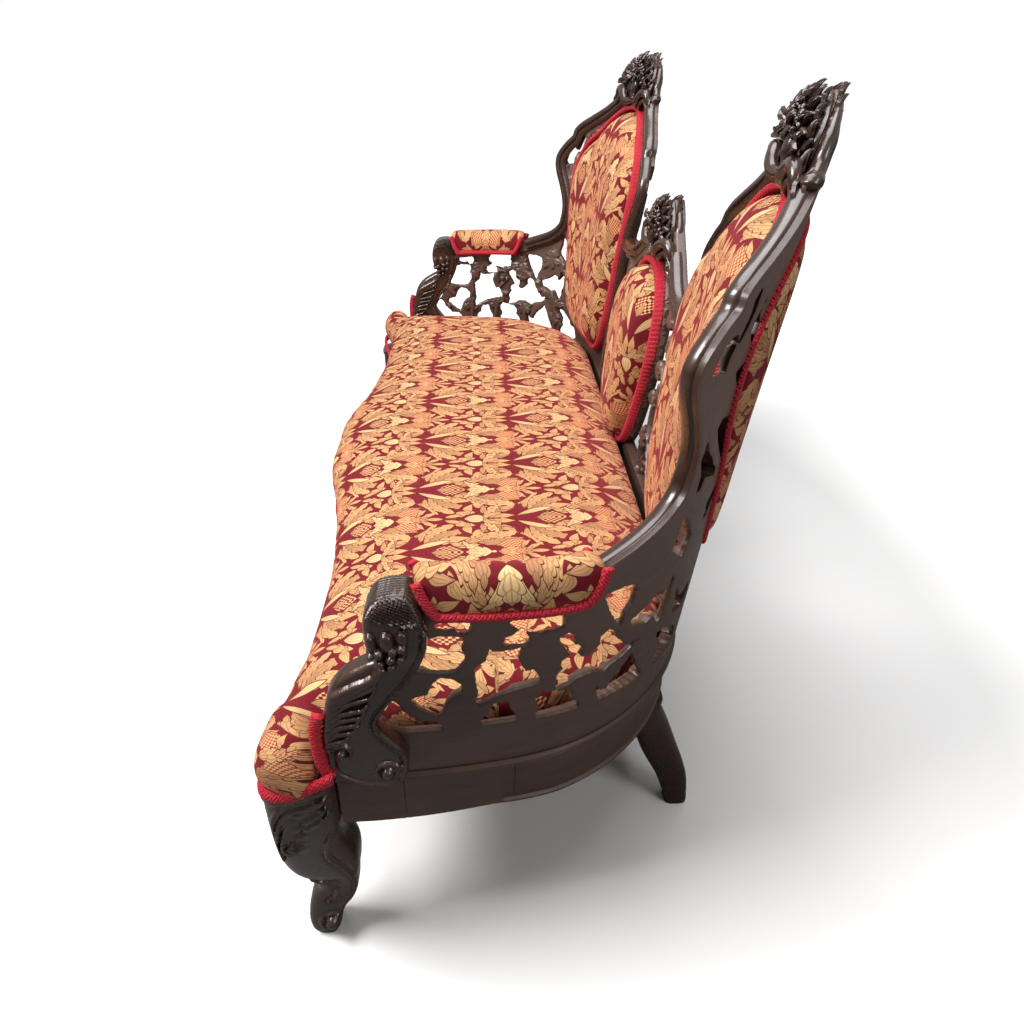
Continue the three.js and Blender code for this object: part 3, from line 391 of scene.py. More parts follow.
# how far each unit reaches across the repeat, by the share of its length
damaskReach = (
    (0, 58), (0.05, 70), (0.12, 88), (0.2, 86), (0.26, 52), (0.34, 56), (0.44, 72),
    (0.5, 62), (0.56, 40), (0.64, 14), (0.69, 20), (0.74, 46), (0.85, 52), (0.93, 48), (1, 58),
)


def damaskGroup():
    tree = bpy.data.node_groups.new("damaskFigure", "ShaderNodeTree")
    tree.interface.new_socket("Cloth", in_out="INPUT", socket_type="NodeSocketVector")
    tree.interface.new_socket("Colour", in_out="OUTPUT", socket_type="NodeSocketColor")
    enter = tree.nodes.new("NodeGroupInput")
    leave = tree.nodes.new("NodeGroupOutput")
    across, along, _ = axes(tree, enter.outputs[0])
    across = across * (1 / damask["width"])
    along = along * (1 / damask["length"])
    drops = []
    for shift in (0.0, 0.5):
        u = (across + (0.5 + shift)).run("FRACT").mad(damask["width"], -damask["width"] / 2)
        u = u.run("ABSOLUTE")
        v = (along + shift).run("FRACT")
        curve = tree.nodes.new("ShaderNodeFloatCurve")
        reach = curve.mapping.curves[0]
        for place, width in damaskReach:
            if place in (0, 1):
                reach.points[-place].location = (place, width / 100)
            else:
                reach.points.new(place, width / 100)
        curve.mapping.update()
        setInputs(curve, {"Value": v})
        drops.append((u, v, Term(tree, curve.outputs[0]).mad(0.1, 0) - u))
    pick = drops[1][2].run("GREATER_THAN", drops[0][2])
    u = (drops[1][0] - drops[0][0]).mad(pick, drops[0][0])
    v = (drops[1][1] - drops[0][1]).mad(pick, drops[0][1])
    # the unit is listed from the curls at 230 mm on, past the repeat's end
    v = ((v * damask["length"]) - 0.224).run("WRAP", damask["length"], 0.0) + 0.224
    colour = None
    for across0, along0, angle, halfLength, halfWidth, bow, tone, lobes in petals:
        turnX, turnY = math.cos(math.radians(angle)), math.sin(math.radians(angle))
        longX, longY = turnX / (halfLength * mm), turnY / (halfLength * mm)
        wideX, wideY = -turnY / (halfWidth * mm), turnX / (halfWidth * mm)
        atV, atU = along0 * mm, across0 * mm
        x = v.mad(longX, u.mad(longY, -atV * longX - atU * longY))
        y = v.mad(wideX, u.mad(wideY, -atV * wideX - atU * wideY))
        square = x * x
        if bow:
            y = square.mad(bow * halfLength / halfWidth * 0.5, y)
        off = y.run("ABSOLUTE")
        reach = square.mad(-1.0, 1.0)
        notch = None
        if 1 < lobes < 8:
            notch = x.mad(1.0, off * 0.5).mad(lobes * math.pi / 2, 0.4)
            notch = notch.run("SINE").run("ABSOLUTE")
            reach = reach * notch.mad(0.34, 0.72)
        inside = reach - off
        sharp = halfWidth * mm / damask["edge"]
        ringMask = inside.mad(sharp, damask["line"] / damask["edge"], clamp=True)
        fillMask = inside.mad(sharp, 0.0, clamp=True)
        fill = damask[tone]
        if lobes < 8:
            # engraved lines: a rib, one line beside it, and one in from each notch
            rib = off.run("DIVIDE", reach.run("MAXIMUM", 0.05)).run("PINGPONG", 0.27)
            cut = rib.mad(-5.5, 0.62, clamp=True)
            if notch:
                cut = cut.run("MAXIMUM", notch.mad(-4.2, 0.85, clamp=True))
            fillMask = fillMask * cut.mad(-0.88, 1.0) * x.mad(0.2, 0.88, clamp=True)
        else:
            check = (x * (2.0 * lobes)).run("SINE") * (y * (2.0 * lobes)).run("SINE")
            low = damask["ground"] if lobes == 8 else damask["rose"]
            fill = mixColour(tree, check.mad(4.0, 0.4, clamp=True), low, damask["gold"])
        colour = mixColour(tree, ringMask, colour or damask["ground"], damask["lineColour"])
        colour = mixColour(tree, fillMask, colour, fill)
    setInputs(leave, {0: colour})
    return tree


damaskTree = damaskGroup()
weave = {"warp": 0.0009, "weft": 0.0013, "stitch": 0.0042, "knot": 0.0085, "jute": 0.0028}


def clothMaterial(name):
    material, tree, shader = blankMaterial(name)
    place = clothPlace(tree)
    figure = addNode(tree, "Group", node_tree=damaskTree)
    setInputs(figure, {0: place})
    across, along, _ = axes(tree, place)
    threads = ripple(across, weave["warp"]) * ripple(along, weave["weft"])
    soft = noiseTerm(tree, place, 9, 3, 0.5)
    fleck = noiseTerm(tree, place, 700, 2, 0.5)
    shade = (soft.mad(0.3, 0.85) + threads * 0.05) + fleck.mad(0.24, -0.12)
    tint = addNode(tree, "CombineColor", {0: shade, 1: shade, 2: shade}).outputs[0]
    # the paler gold threads shine more than the ground
    split = addNode(tree, "SeparateColor", {0: figure.outputs[0]})
    setInputs(shader, {
        "Base Color": mixColour(tree, 1.0, figure.outputs[0], tint, "MULTIPLY"),
        "Roughness": setRange(tree, Term(tree, split.outputs[1]), 0.0, 0.45, 0.72, 0.42),
        "Sheen Weight": 0.5, "Sheen Roughness": 0.36, "Sheen Tint": (1.0, 0.22, 0.21),
        "Specular IOR Level": 0.25, "Normal": bumpFrom(tree, threads * 0.5 + fleck, 0.0004, 0.8),
    })
    return material


def braidMaterial(name):
    material, tree, shader = blankMaterial(name)
    place = clothPlace(tree)
    along, across, _ = axes(tree, place)
    stitches = ripple(along + across.run("ABSOLUTE") * 0.7, weave["stitch"])
    knots = ripple(along, weave["knot"]) * ripple(across, 0.006, "COSINE")
    fuzz = noiseTerm(tree, place, 1500, 3, 0.6)
    height = stitches * 0.5 + knots * 0.5 + fuzz * 0.5
    share = height.mad(0.35, 0.35, clamp=True)
    setInputs(shader, {
        "Base Color": mixColour(tree, share, (0.24, 0.0018, 0.010), (0.86, 0.009, 0.042)),
        "Roughness": 0.62, "Sheen Weight": 0.5, "Sheen Roughness": 0.4,
        "Sheen Tint": (1.0, 0.12, 0.16), "Normal": bumpFrom(tree, height, 0.0012, 0.9),
    })
    return material


def webMaterial(name):
    material, tree, shader = blankMaterial(name)
    place = objectPlace(tree)
    across, along, _ = axes(tree, place)
    yarns = ripple(across, weave["jute"]) * ripple(along, weave["jute"])
    fibre = noiseTerm(tree, place, 420, 4, 0.6)
    share = (yarns * 0.3 + fibre).mad(0.7, 0.0, clamp=True)
    setInputs(shader, {
        "Base Color": mixColour(tree, share, (0.13, 0.085, 0.045), (0.42, 0.31, 0.19)),
        "Roughness": 0.9, "Normal": bumpFrom(tree, yarns + fibre, 0.0006, 0.8),
    })
    return material


damaskCloth = clothMaterial("damaskCloth")
braidCloth = braidMaterial("gimpBraid")
print("materials ready")

# Stuffed pieces: a smooth closed form is puffed by a short cloth simulation, then laid in place.
sim = {"frames": 20, "pressure": 4.0, "quality": 4, "easing": 3}


def evaluated(body):
    return body.evaluated_get(bpy.context.evaluated_depsgraph_get())


def coords(mesh):
    flat = np.empty(len(mesh.vertices) * 3)
    mesh.vertices.foreach_get("co", flat)
    return flat.reshape(-1, 3)


def setCoords(mesh, points):
    mesh.vertices.foreach_set("co", np.asarray(points, float).ravel())
    mesh.update()


def simulate(name, mesh, voxel, cap):
    # cap is the furthest that the cloth may move from its form
    body = bpy.data.objects.new("padInMaking", mesh)
    scene.collection.objects.link(body)
    bpy.context.view_layer.objects.active = body
    remesh = body.modifiers.new("even", "REMESH")
    remesh.mode = "VOXEL"
    remesh.voxel_size = voxel
    remesh.use_smooth_shade = True
    even = bpy.data.meshes.new_from_object(evaluated(body))
    body.modifiers.clear()
    body.data = even
    start = coords(even)
    cloth = body.modifiers.new("puff", "CLOTH")
    cloth.settings.use_pressure = True
    cloth.settings.uniform_pressure_force = sim["pressure"]
    cloth.settings.effector_weights.gravity = 0
    cloth.settings.quality = sim["quality"]
    cloth.point_cache.frame_start = 1
    cloth.point_cache.frame_end = sim["frames"]
    for number in range(1, sim["frames"] + 1):
        scene.frame_set(number)
    puffed = evaluated(body)
    move = coords(puffed.to_mesh()) - start
    puffed.to_mesh_clear()
    size = np.linalg.norm(move, axis=1, keepdims=True)
    move *= np.minimum(1, cap / np.maximum(size, 1e-9))
    body.modifiers.clear()
    scene.frame_set(1)
    setCoords(even, start + move)
    body.modifiers.new("ease", "SMOOTH").iterations = sim["easing"]
    fine = body.modifiers.new("fine", "SUBSURF")
    fine.levels = fine.render_levels = 1
    done = bpy.data.meshes.new_from_object(evaluated(body))
    bpy.data.objects.remove(body)
    done.name = name
    done.materials.clear()
    return done


def setCloth(mesh, cloth):
    layer = mesh.uv_layers.new(name="cloth")
    corners = np.empty(len(mesh.loops), dtype=int)
    mesh.loops.foreach_get("vertex_index", corners)
    layer.data.foreach_set("uv", np.asarray(cloth, float)[corners].ravel())


def finishPad(name, mesh, node):
    piece = finishPiece(name, mesh, node, damaskCloth, 70)


def cadMesh(node):
    # the CAD solid's own surface, as the start of a soft form
    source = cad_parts[node].data.copy()
    bm = bmesh.new()
    bm.from_mesh(source)
    bmesh.ops.remove_doubles(bm, verts=bm.verts, dist=1e-5)
    bm.to_mesh(source)
    bm.free()
    return source


def bell(distance, width):
    return np.exp(-((distance / width) ** 2))


seat = {
    "voxel": 0.012, "cap": 0.006, "fill": 0.9,
    "crown": 0.477, "repeatX": 0.098, "repeatY": -0.17, "wrap": 0.9,
    "lobeZ": 0.408, "lobeOut": 0.009, "besidePost": 0.011, "tuck": 0.011, "tackPull": 0.0016,
    "liftX": (0.76, 0.79, 0.818, 0.845, 0.872), "liftZ": (0.334, 0.338, 0.352, 0.362, 0.366),
    "climbY": (-0.33, -0.305, -0.287, -0.268, -0.252, -0.2),
    "climbZ": (0.366, 0.369, 0.375, 0.383, 0.390, 0.39),
}


def buildSeat():
    done = simulate("seatCushion", cadMesh("seat_cushion"), seat["voxel"], seat["cap"])
    p = coords(done)
    low, high = (np.array(c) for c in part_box("seat_cushion"))
    p = np.clip(p, low - 0.004, high + 0.004)
    p[:, 2] = np.maximum(p[:, 2], low[2])
    aside, way = np.abs(p[:, 0]), np.sign(p[:, 0])
    # a lobe at each front corner
    corner = smooth((aside - 0.80) / 0.07) * smooth((-p[:, 1] - 0.26) / 0.06)
    corner = corner * bell(p[:, 2] - seat["lobeZ"], 0.04)
    outward = np.stack([way * 0.5, -np.ones(len(p))], axis=1)
    p[:, :2] += corner[:, None] * seat["lobeOut"] * outward
    # under the lobe the cloth is tucked in behind the braid
    tuck = smooth((aside - 0.79) / 0.05) * smooth((0.402 - p[:, 2]) / 0.030) * (p[:, 1] < -0.24)
    p[:, 1] += seat["tuck"] * tuck * smooth((-p[:, 1] - 0.28) / 0.04)
    # beside the post the cloth comes out to the braid
    full = smooth((aside - 0.84) / 0.03) * smooth((0.43 - p[:, 2]) / 0.035)
    p[:, 0] += seat["besidePost"] * way * full * bell(p[:, 1] + 0.275, 0.028)
    # the lower edge rises with the braid over the legs and up to the posts
    lift = np.interp(aside, seat["liftX"], seat["liftZ"]) * (p[:, 1] < -0.20)
    climb = np.interp(p[:, 1], seat["climbY"], seat["climbZ"]) * (aside > 0.86)
    p[:, 2] = np.maximum(p[:, 2], np.maximum(lift, climb))
    # small pulls where the cloth is tacked along the lower edge
    edge = smooth((0.40 - p[:, 2]) / 0.07)
    p[:, 1] -= seat["tackPull"] * edge * np.sin(p[:, 0] * 190) * (p[:, 1] < -0.2)
    setCoords(done, p)
    drop = seat["crown"] - p[:, 2]
    over = smooth((np.abs(p[:, 0]) - 0.79) / 0.08)
    u = p[:, 0] - seat["repeatX"] + np.sign(p[:, 0]) * drop * over * seat["wrap"]
    v = p[:, 1] - seat["repeatY"] + np.sign(p[:, 1] + 0.04) * drop * seat["wrap"]
    setCloth(done, np.stack([u, v], axis=1))
    finishPad("seatCushion", done, "seat_cushion")


buildSeat()
print("seat cushion ready")

# The medallions: domed pads front and rear, inside a ring of gimp braid.
# Each half outline runs from the top middle to the bottom middle.
tallHalf = (
    (0, 1.040), (0.045, 1.030), (0.080, 1.008), (0.115, 0.975), (0.150, 0.945), (0.172, 0.905),
    (0.182, 0.860), (0.183, 0.800), (0.177, 0.720), (0.168, 0.640), (0.150, 0.560),
    (0.115, 0.500), (0.065, 0.475), (0, 0.470),
)
centreHalf = (
    (0, 0.812), (0.050, 0.805), (0.085, 0.785), (0.112, 0.750), (0.122, 0.700), (0.118, 0.640),
    (0.100, 0.570), (0.070, 0.490), (0.035, 0.450), (0, 0.440),
)
rearTallHalf = (
    (0, 1.012), (0.060, 1.004), (0.112, 0.975), (0.150, 0.930), (0.165, 0.870), (0.160, 0.810),
    (0.138, 0.740), (0.118, 0.670), (0.095, 0.600), (0.055, 0.560), (0, 0.550),
)
rearCentreHalf = (
    (0, 0.790), (0.050, 0.782), (0.085, 0.755), (0.104, 0.705), (0.100, 0.640), (0.084, 0.570),
    (0.058, 0.500), (0.030, 0.470), (0, 0.462),
)
frontN = -0.0206  # the face of the panels towards the seat
medallion = {
    "around": 112, "rings": 16, "voxel": 0.006, "fill": 0.85, "phase": (0.0, 0.10), "wrap": 0.6,
    "front": {"n": frontN, "way": -1, "cap": 0.008, "edge": 0.011, "braid": (0.014, 0.0165)},
    "rear": {"n": 0.0006, "way": 1, "cap": 0.003, "edge": 0.004, "braid": (0.009, 0.0050)},
    "rearCrown": 0.015, "braidOut": 0.003, "braidSteps": 720,
}
tallAxis = 0.545  # how far along the wall the middle of a tall back is


def domeMesh(name, outline, crown, edge):
    # a dome over the outline in (s, z), rising along the third axis from 0 to the crown
    middle = outline.mean(axis=0)
    verts = [(s, z, 0.0) for s, z in outline]
    for ring in range(medallion["rings"] + 1):
        share = 1 - ring / medallion["rings"]
        height = edge + (crown - edge) * (1 - share**5) ** 0.55
        verts += [(s, z, height) for s, z in middle + (outline - middle) * share]
    faces = ringFaces(medallion["rings"] + 2, len(outline))
    return faceOutward(newMesh(name, verts, faces))


def buildPad(name, node, half, axisS, face, crown):
    side = medallion[face]
    outline = smoothLoop(mirrored(half), medallion["around"])
    mesh = domeMesh(name, outline, crown - 0.004, side["edge"])
    done = simulate(name, mesh, medallion["voxel"], side["cap"])
    p = coords(done)
    rise = np.maximum(p[:, 2], 0)
    fromMiddle = np.stack([p[:, 0], p[:, 1] - outline[:, 1].mean()], axis=1)
    # the cloth is drawn outward where the dome falls away
    away = np.hypot(fromMiddle[:, 0], fromMiddle[:, 1] * 0.6)
    steep = (crown - rise) * np.clip(away / 0.12, 0, 1)
    length = np.maximum(np.linalg.norm(fromMiddle, axis=1, keepdims=True), 1e-6)
    cloth = fromMiddle + fromMiddle / length * steep[:, None] * medallion["wrap"]
    setCloth(done, cloth + medallion["phase"])
    n = side["n"] + side["way"] * rise
    setCoords(done, bend(np.stack([axisS + p[:, 0], p[:, 1], n], axis=1)))
    if side["way"] < 0:
        done.flip_normals()
    faceOutward(done)
    finishPad(name, done, node)


def sweepMesh(name, path, across, up, profile, closed=False, waviness=0.0, wave=0.0085):
    # profile rows are (across, up); cloth runs along the path and round the profile
    path, profile = np.asarray(path, float), np.asarray(profile, float)
    across, up = (np.broadcast_to(np.asarray(a, float), path.shape) for a in (across, up))
    steps = np.r_[0, np.cumsum(np.linalg.norm(np.diff(path, axis=0), axis=1))]
    total = steps[-1] + (np.linalg.norm(path[0] - path[-1]) if closed else 0)
    swell = 1 + waviness * np.sin(steps / wave * math.tau)
    rows, size = len(path), len(profile)
    verts = (
        path[:, None]
        + across[:, None] * profile[None, :, :1] * swell[:, None, None]
        + up[:, None] * profile[None, :, 1:]
    ).reshape(-1, 3)
    around = np.r_[0, np.cumsum(np.linalg.norm(np.diff(profile, axis=0), axis=1))]
    around -= around[-1] / 2
    cloth = []
    for i in range(rows if closed else rows - 1):
        near, far = steps[i], total if i == rows - 1 else steps[i + 1]
        for k in range(size):
            a, b = around[k], around[k + 1] if k < size - 1 else -around[0]
            cloth += [(near, a), (near, b), (far, b), (far, a)]
    if not closed:
        cloth += [(0, a) for a in around[::-1]] + [(total, a) for a in around]
    mesh = newMesh(name, verts, ringFaces(rows, size, closed))
    layer = mesh.uv_layers.new(name="cloth")
    layer.data.foreach_set("uv", np.asarray(cloth, float).ravel())
    mesh.update()
    return faceOutward(mesh, merge=False)


def halfRound(width, height, count=8):
    turn = np.linspace(math.pi, 0, count)
    arc = np.stack([np.cos(turn) * width / 2, np.sin(turn) ** 0.7 * height], axis=1)
    return np.vstack([arc, [[width / 2, -0.001], [-width / 2, -0.001]]])


def buildBraid(name, node, half, axisS, face):
    side = medallion[face]
    loop = smoothLoop(mirrored(half), medallion["braidSteps"])
    ahead = unit(np.roll(loop, -1, axis=0) - np.roll(loop, 1, axis=0))
    outward = np.stack([ahead[:, 1], -ahead[:, 0]], axis=1)
    if np.sum((loop - loop.mean(axis=0)) * outward) < 0:
        outward = -outward
    loop = loop + outward * medallion["braidOut"]
    flat = np.c_[axisS + loop[:, 0], loop[:, 1], np.full(len(loop), side["n"])]
    base = bend(flat)
    across = unit(bend(flat + np.c_[outward * mm, np.zeros(len(loop))]) - base)
    up = unit(bend(flat + [0, 0, side["way"] * mm]) - base)
    mesh = sweepMesh(name, base, across, up, halfRound(*side["braid"]), True, 0.12)
    finishPiece(name, mesh, node, braidCloth, None)


for side, axisS, halves, crown in (
    ("left", tallAxis, (tallHalf, rearTallHalf), 0.058),
    ("right", -tallAxis, (tallHalf, rearTallHalf), 0.058),
    ("centre", 0, (centreHalf, rearCentreHalf), 0.056),
):
    node = side + "_{}_tall_{}" if axisS else "{}_centre_{}"
    for face, half, top in zip(("front", "rear"), halves, (crown, medallion["rearCrown"])):
        buildPad(side + face.title() + "Pad", node.format(face, "pad"), half, axisS, face, top)
    for face, half in zip(("front", "rear"), halves):
        buildBraid(side + face.title() + "Braid", node.format(face, "braid"), half, axisS, face)
print("medallions ready")


# Carved panels: a field over (a, b) says where the wood is, and reliefs raise its faces.
def nearestOn(a, b, start, end):
    # the distance to a segment, and how far along it the nearest place is
    (x0, y0), (x1, y1) = start, end
    dx, dy = x1 - x0, y1 - y0
    share = np.clip(((a - x0) * dx + (b - y0) * dy) / (dx * dx + dy * dy + 1e-18), 0, 1)
    return np.hypot(a - x0 - share * dx, b - y0 - share * dy), share


def polygonField(a, b, outline):
    # distance to the closed outline, positive inside
    pts = np.asarray(outline, float)
    best = np.full(a.shape, 1e9)
    inside = np.zeros(a.shape, bool)
    for (x0, y0), (x1, y1) in zip(pts, np.roll(pts, -1, axis=0)):
        best = np.minimum(best, nearestOn(a, b, (x0, y0), (x1, y1))[0])
        if y1 != y0:
            crosses = (y0 > b) != (y1 > b)
            inside ^= crosses & (a < x0 + (b - y0) * (x1 - x0) / (y1 - y0))
    return np.where(inside, best, -best)


def pathDistance(a, b, path):
    # distance to an open path, and how far along it the nearest place is, 0 to 1
    pts = np.asarray(path, float)
    best = np.full(a.shape, 1e9)
    along = np.zeros(a.shape)
    steps = np.r_[0, np.cumsum(np.linalg.norm(np.diff(pts, axis=0), axis=1))]
    for i in range(len(pts) - 1):
        near, share = nearestOn(a, b, pts[i], pts[i + 1])
        closer = near < best
        best = np.where(closer, near, best)
        along = np.where(closer, (steps[i] + share * (steps[i + 1] - steps[i])) / steps[-1], along)
    return best, along


def dome(share):
    return np.sqrt(np.clip(1 - share**2, 0, None))


def ballTop(radius, distance):
    return np.sqrt(np.clip(radius**2 - distance**2, 0, None))


def rolled(field, roll):
    # how far a rounded edge falls below its face
    return roll * (1 - dome(1 - np.clip(field / roll, 0, 1)))


def vineLeaf(a, b, at, reach, angle, height):
    da, db = a - at[0], b - at[1]
    r = np.hypot(da, db)
    turn = (np.arctan2(db, da) - math.radians(angle) + math.pi) % math.tau - math.pi
    lobe = np.abs(np.cos(turn * 2.5))
    jag = np.abs(((turn * 4.6) % 1.0) - 0.5) * 2
    edge = reach * (0.50 + 0.46 * lobe**0.75 * (1 - 0.2 * np.abs(turn) / math.pi) + 0.07 * jag)
    share = np.clip(r / edge, 0, 1)
    vein = np.exp(-((r * np.sin(np.arccos(np.clip(lobe, 0, 1)) / 2.5) / 0.0013) ** 2))
    rise = height * (0.45 + 0.55 * np.sqrt(1 - share**2 * 0.9)) * (0.62 + 0.38 * lobe)
    return (edge - r) * 0.8, rise - 0.3 * height * vein * (share < 0.95)


def leaves(a, b, rows, grow=1.0):
    return [
        vineLeaf(a, b, (x * mm, y * mm), r * mm * grow, turn, h * mm) for x, y, r, turn, h in rows
    ]


def grapes(a, b, at, ball, rows, angle, height):
    # a hanging bunch: rows of balls that narrow towards the tip
    fields, rises = [], []
    ca, sa = math.cos(math.radians(angle)), math.sin(math.radians(angle))
    for row, count in enumerate(rows):
        for i in range(count):
            along = row * ball * 1.55
            off = (i - (count - 1) / 2) * ball * 1.85
            x, y = at[0] + along * ca - off * sa, at[1] + along * sa + off * ca
            d = np.hypot(a - x, b - y)
            fields.append(ball - d)
            rises.append(height * 0.35 + ballTop(ball, d) * 0.9)
    return np.max(fields, axis=0), np.max(rises, axis=0)


def stem(a, b, path, radius, height, tip=0.6):
    d, along = pathDistance(a, b, smoothLoop(path, 28, closed=False))
    girth = radius * (1 - (1 - tip) * along)
    return girth - d, height * (0.35 + 0.65 * dome(d / girth))


def spiral(a, b, at, start, turns, begin, width, height, clockwise=False):
    # a volute that winds in to a round eye
    t = np.linspace(0, 1, 60)
    way = -1 if clockwise else 1
    angle = math.radians(begin) + way * t * turns * math.tau
    r = start * (1 - t * 0.82)
    path = np.stack([at[0] + r * np.cos(angle), at[1] + r * np.sin(angle)], axis=1)
    d, along = pathDistance(a, b, path)
    girth = width * (1 - 0.35 * along)
    eye = start * 0.3 - np.hypot(a - at[0], b - at[1])
    eyeRise = height * 1.15 * dome(1 - np.clip(eye, 0, None) / (start * 0.3))
    rise = np.maximum(height * dome(d / girth) * (d < girth), eyeRise * (eye > 0))
    return np.maximum(girth - d, eye), rise


def gather(shapes):
    # the union of several shapes and the highest of their reliefs
    field, rise = None, None
    for f, h in shapes:
        h = np.where(f > -0.0005, h, 0)
        field = f if field is None else np.maximum(field, f)
        rise = h if rise is None else np.maximum(rise, h)
    return field, rise


def panelMesh(name, aLines, bLines, field, faces, place):
    # faces(a, b, field) gives the two surfaces' heights; the walls between them take slot 1
    a, b = (g.ravel() for g in np.meshgrid(aLines, bLines, indexing="ij"))
    rows, columns = len(aLines), len(bLines)
    value = field(a, b)
    step = 0.0004
    slopeA = (field(a + step, b) - field(a - step, b)) / (2 * step)
    slopeB = (field(a, b + step) - field(a, b - step)) / (2 * step)
    steep = np.maximum(slopeA**2 + slopeB**2, 1e-4)
    gapA = np.repeat(np.gradient(aLines), columns)
    gapB = np.tile(np.gradient(bLines), rows)
    near = np.abs(value) < 0.3 * np.minimum(gapA, gapB)
    inner = np.zeros((rows, columns), bool)
    inner[1:-1, 1:-1] = True
    near &= inner.ravel()
    a = np.where(near, a - value * slopeA / steep, a)
    b = np.where(near, b - value * slopeB / steep, b)
    value = np.where(near, 0.0, value)
    solid = value >= 0
    points = list(zip(a, b))
    cuts = {}

    def cross(i, j):
        if value[i] == 0:
            return i
        if value[j] == 0:
            return j
        key = (min(i, j), max(i, j))
        if key not in cuts:
            share = value[i] / (value[i] - value[j])
            cuts[key] = len(points)
            points.append((a[i] + (a[j] - a[i]) * share, b[i] + (b[j] - b[i]) * share))
        return cuts[key]

    grid = np.arange(rows * columns).reshape(rows, columns)
    corners = np.stack([grid[:-1, :-1], grid[1:, :-1], grid[1:, 1:], grid[:-1, 1:]], axis=-1)
    corners = corners.reshape(-1, 4)
    count = solid[corners].sum(axis=1)
    polygons = [tuple(c) for c in corners[count == 4].tolist()]
    for cell in corners[(count > 0) & (count < 4)].tolist():
        loop = []
        for k in range(4):
            i, j = cell[k], cell[(k + 1) % 4]
            if solid[i]:
                loop.append(i)
            if solid[i] != solid[j]:
                loop.append(cross(i, j))
        loop = [p for k, p in enumerate(loop) if p != loop[k - 1]]
        if len(set(loop)) >= 3:
            polygons.append(tuple(loop))
    used = sorted({p for polygon in polygons for p in polygon})
    renumber = {old: new for new, old in enumerate(used)}
    polygons = [tuple(renumber[p] for p in polygon) for polygon in polygons]
    flat = np.array([points[p] for p in used])
    near, far = faces(flat[:, 0], flat[:, 1], np.maximum(field(flat[:, 0], flat[:, 1]), 0))
    total = len(flat)
    verts = np.vstack([np.c_[flat, near], np.c_[flat, far]])
    edges = dict.fromkeys(
        edge for polygon in polygons for edge in zip(polygon, polygon[1:] + polygon[:1])
    )
    walls = [(p, q) for p, q in edges if (q, p) not in edges]
    everything = polygons + [tuple(total + p for p in reversed(polygon)) for polygon in polygons]
    everything += [(q, p, total + p, total + q) for p, q in walls]
    mesh = newMesh(name, place(verts), everything)
    index = np.zeros(len(everything), dtype=np.int32)
    index[2 * len(polygons):] = 1
    mesh.polygons.foreach_set("material_index", index)
    return faceOutward(mesh, merge=False)
# Side walls: the tall back, the corner and the arm in one bent panel, pierced with vines.
tallEdge = (
    (0.218, 0.776), (0.222, 0.800), (0.233, 0.831), (0.246, 0.862), (0.252, 0.890),
    (0.247, 0.914), (0.227, 0.942), (0.210, 0.959), (0.205, 0.975), (0.188, 0.992),
    (0.161, 1.009), (0.116, 1.037), (0.083, 1.064), (0.061, 1.087), (0.038, 1.099), (0, 1.100),
)
armEdge = (
    (0.765, 0.752), (0.773, 0.729), (0.806, 0.703), (0.872, 0.676), (0.935, 0.662),
    (1.000, 0.655), (1.060, 0.652), (1.120, 0.650), (1.190, 0.650),
)
# the board behind a side crest, as (aside, height)
crestOutline = (
    (0, 1.040), (0.030, 1.050), (0.056, 1.066), (0.061, 1.082), (0.059, 1.098), (0.053, 1.112),
    (0.043, 1.124), (0.030, 1.134), (0.015, 1.143), (0, 1.150),
)
crestSpan = {"footZ": 1.050, "lowZ": 0.826, "wide": 70 / 64, "tall": 114 / 110}
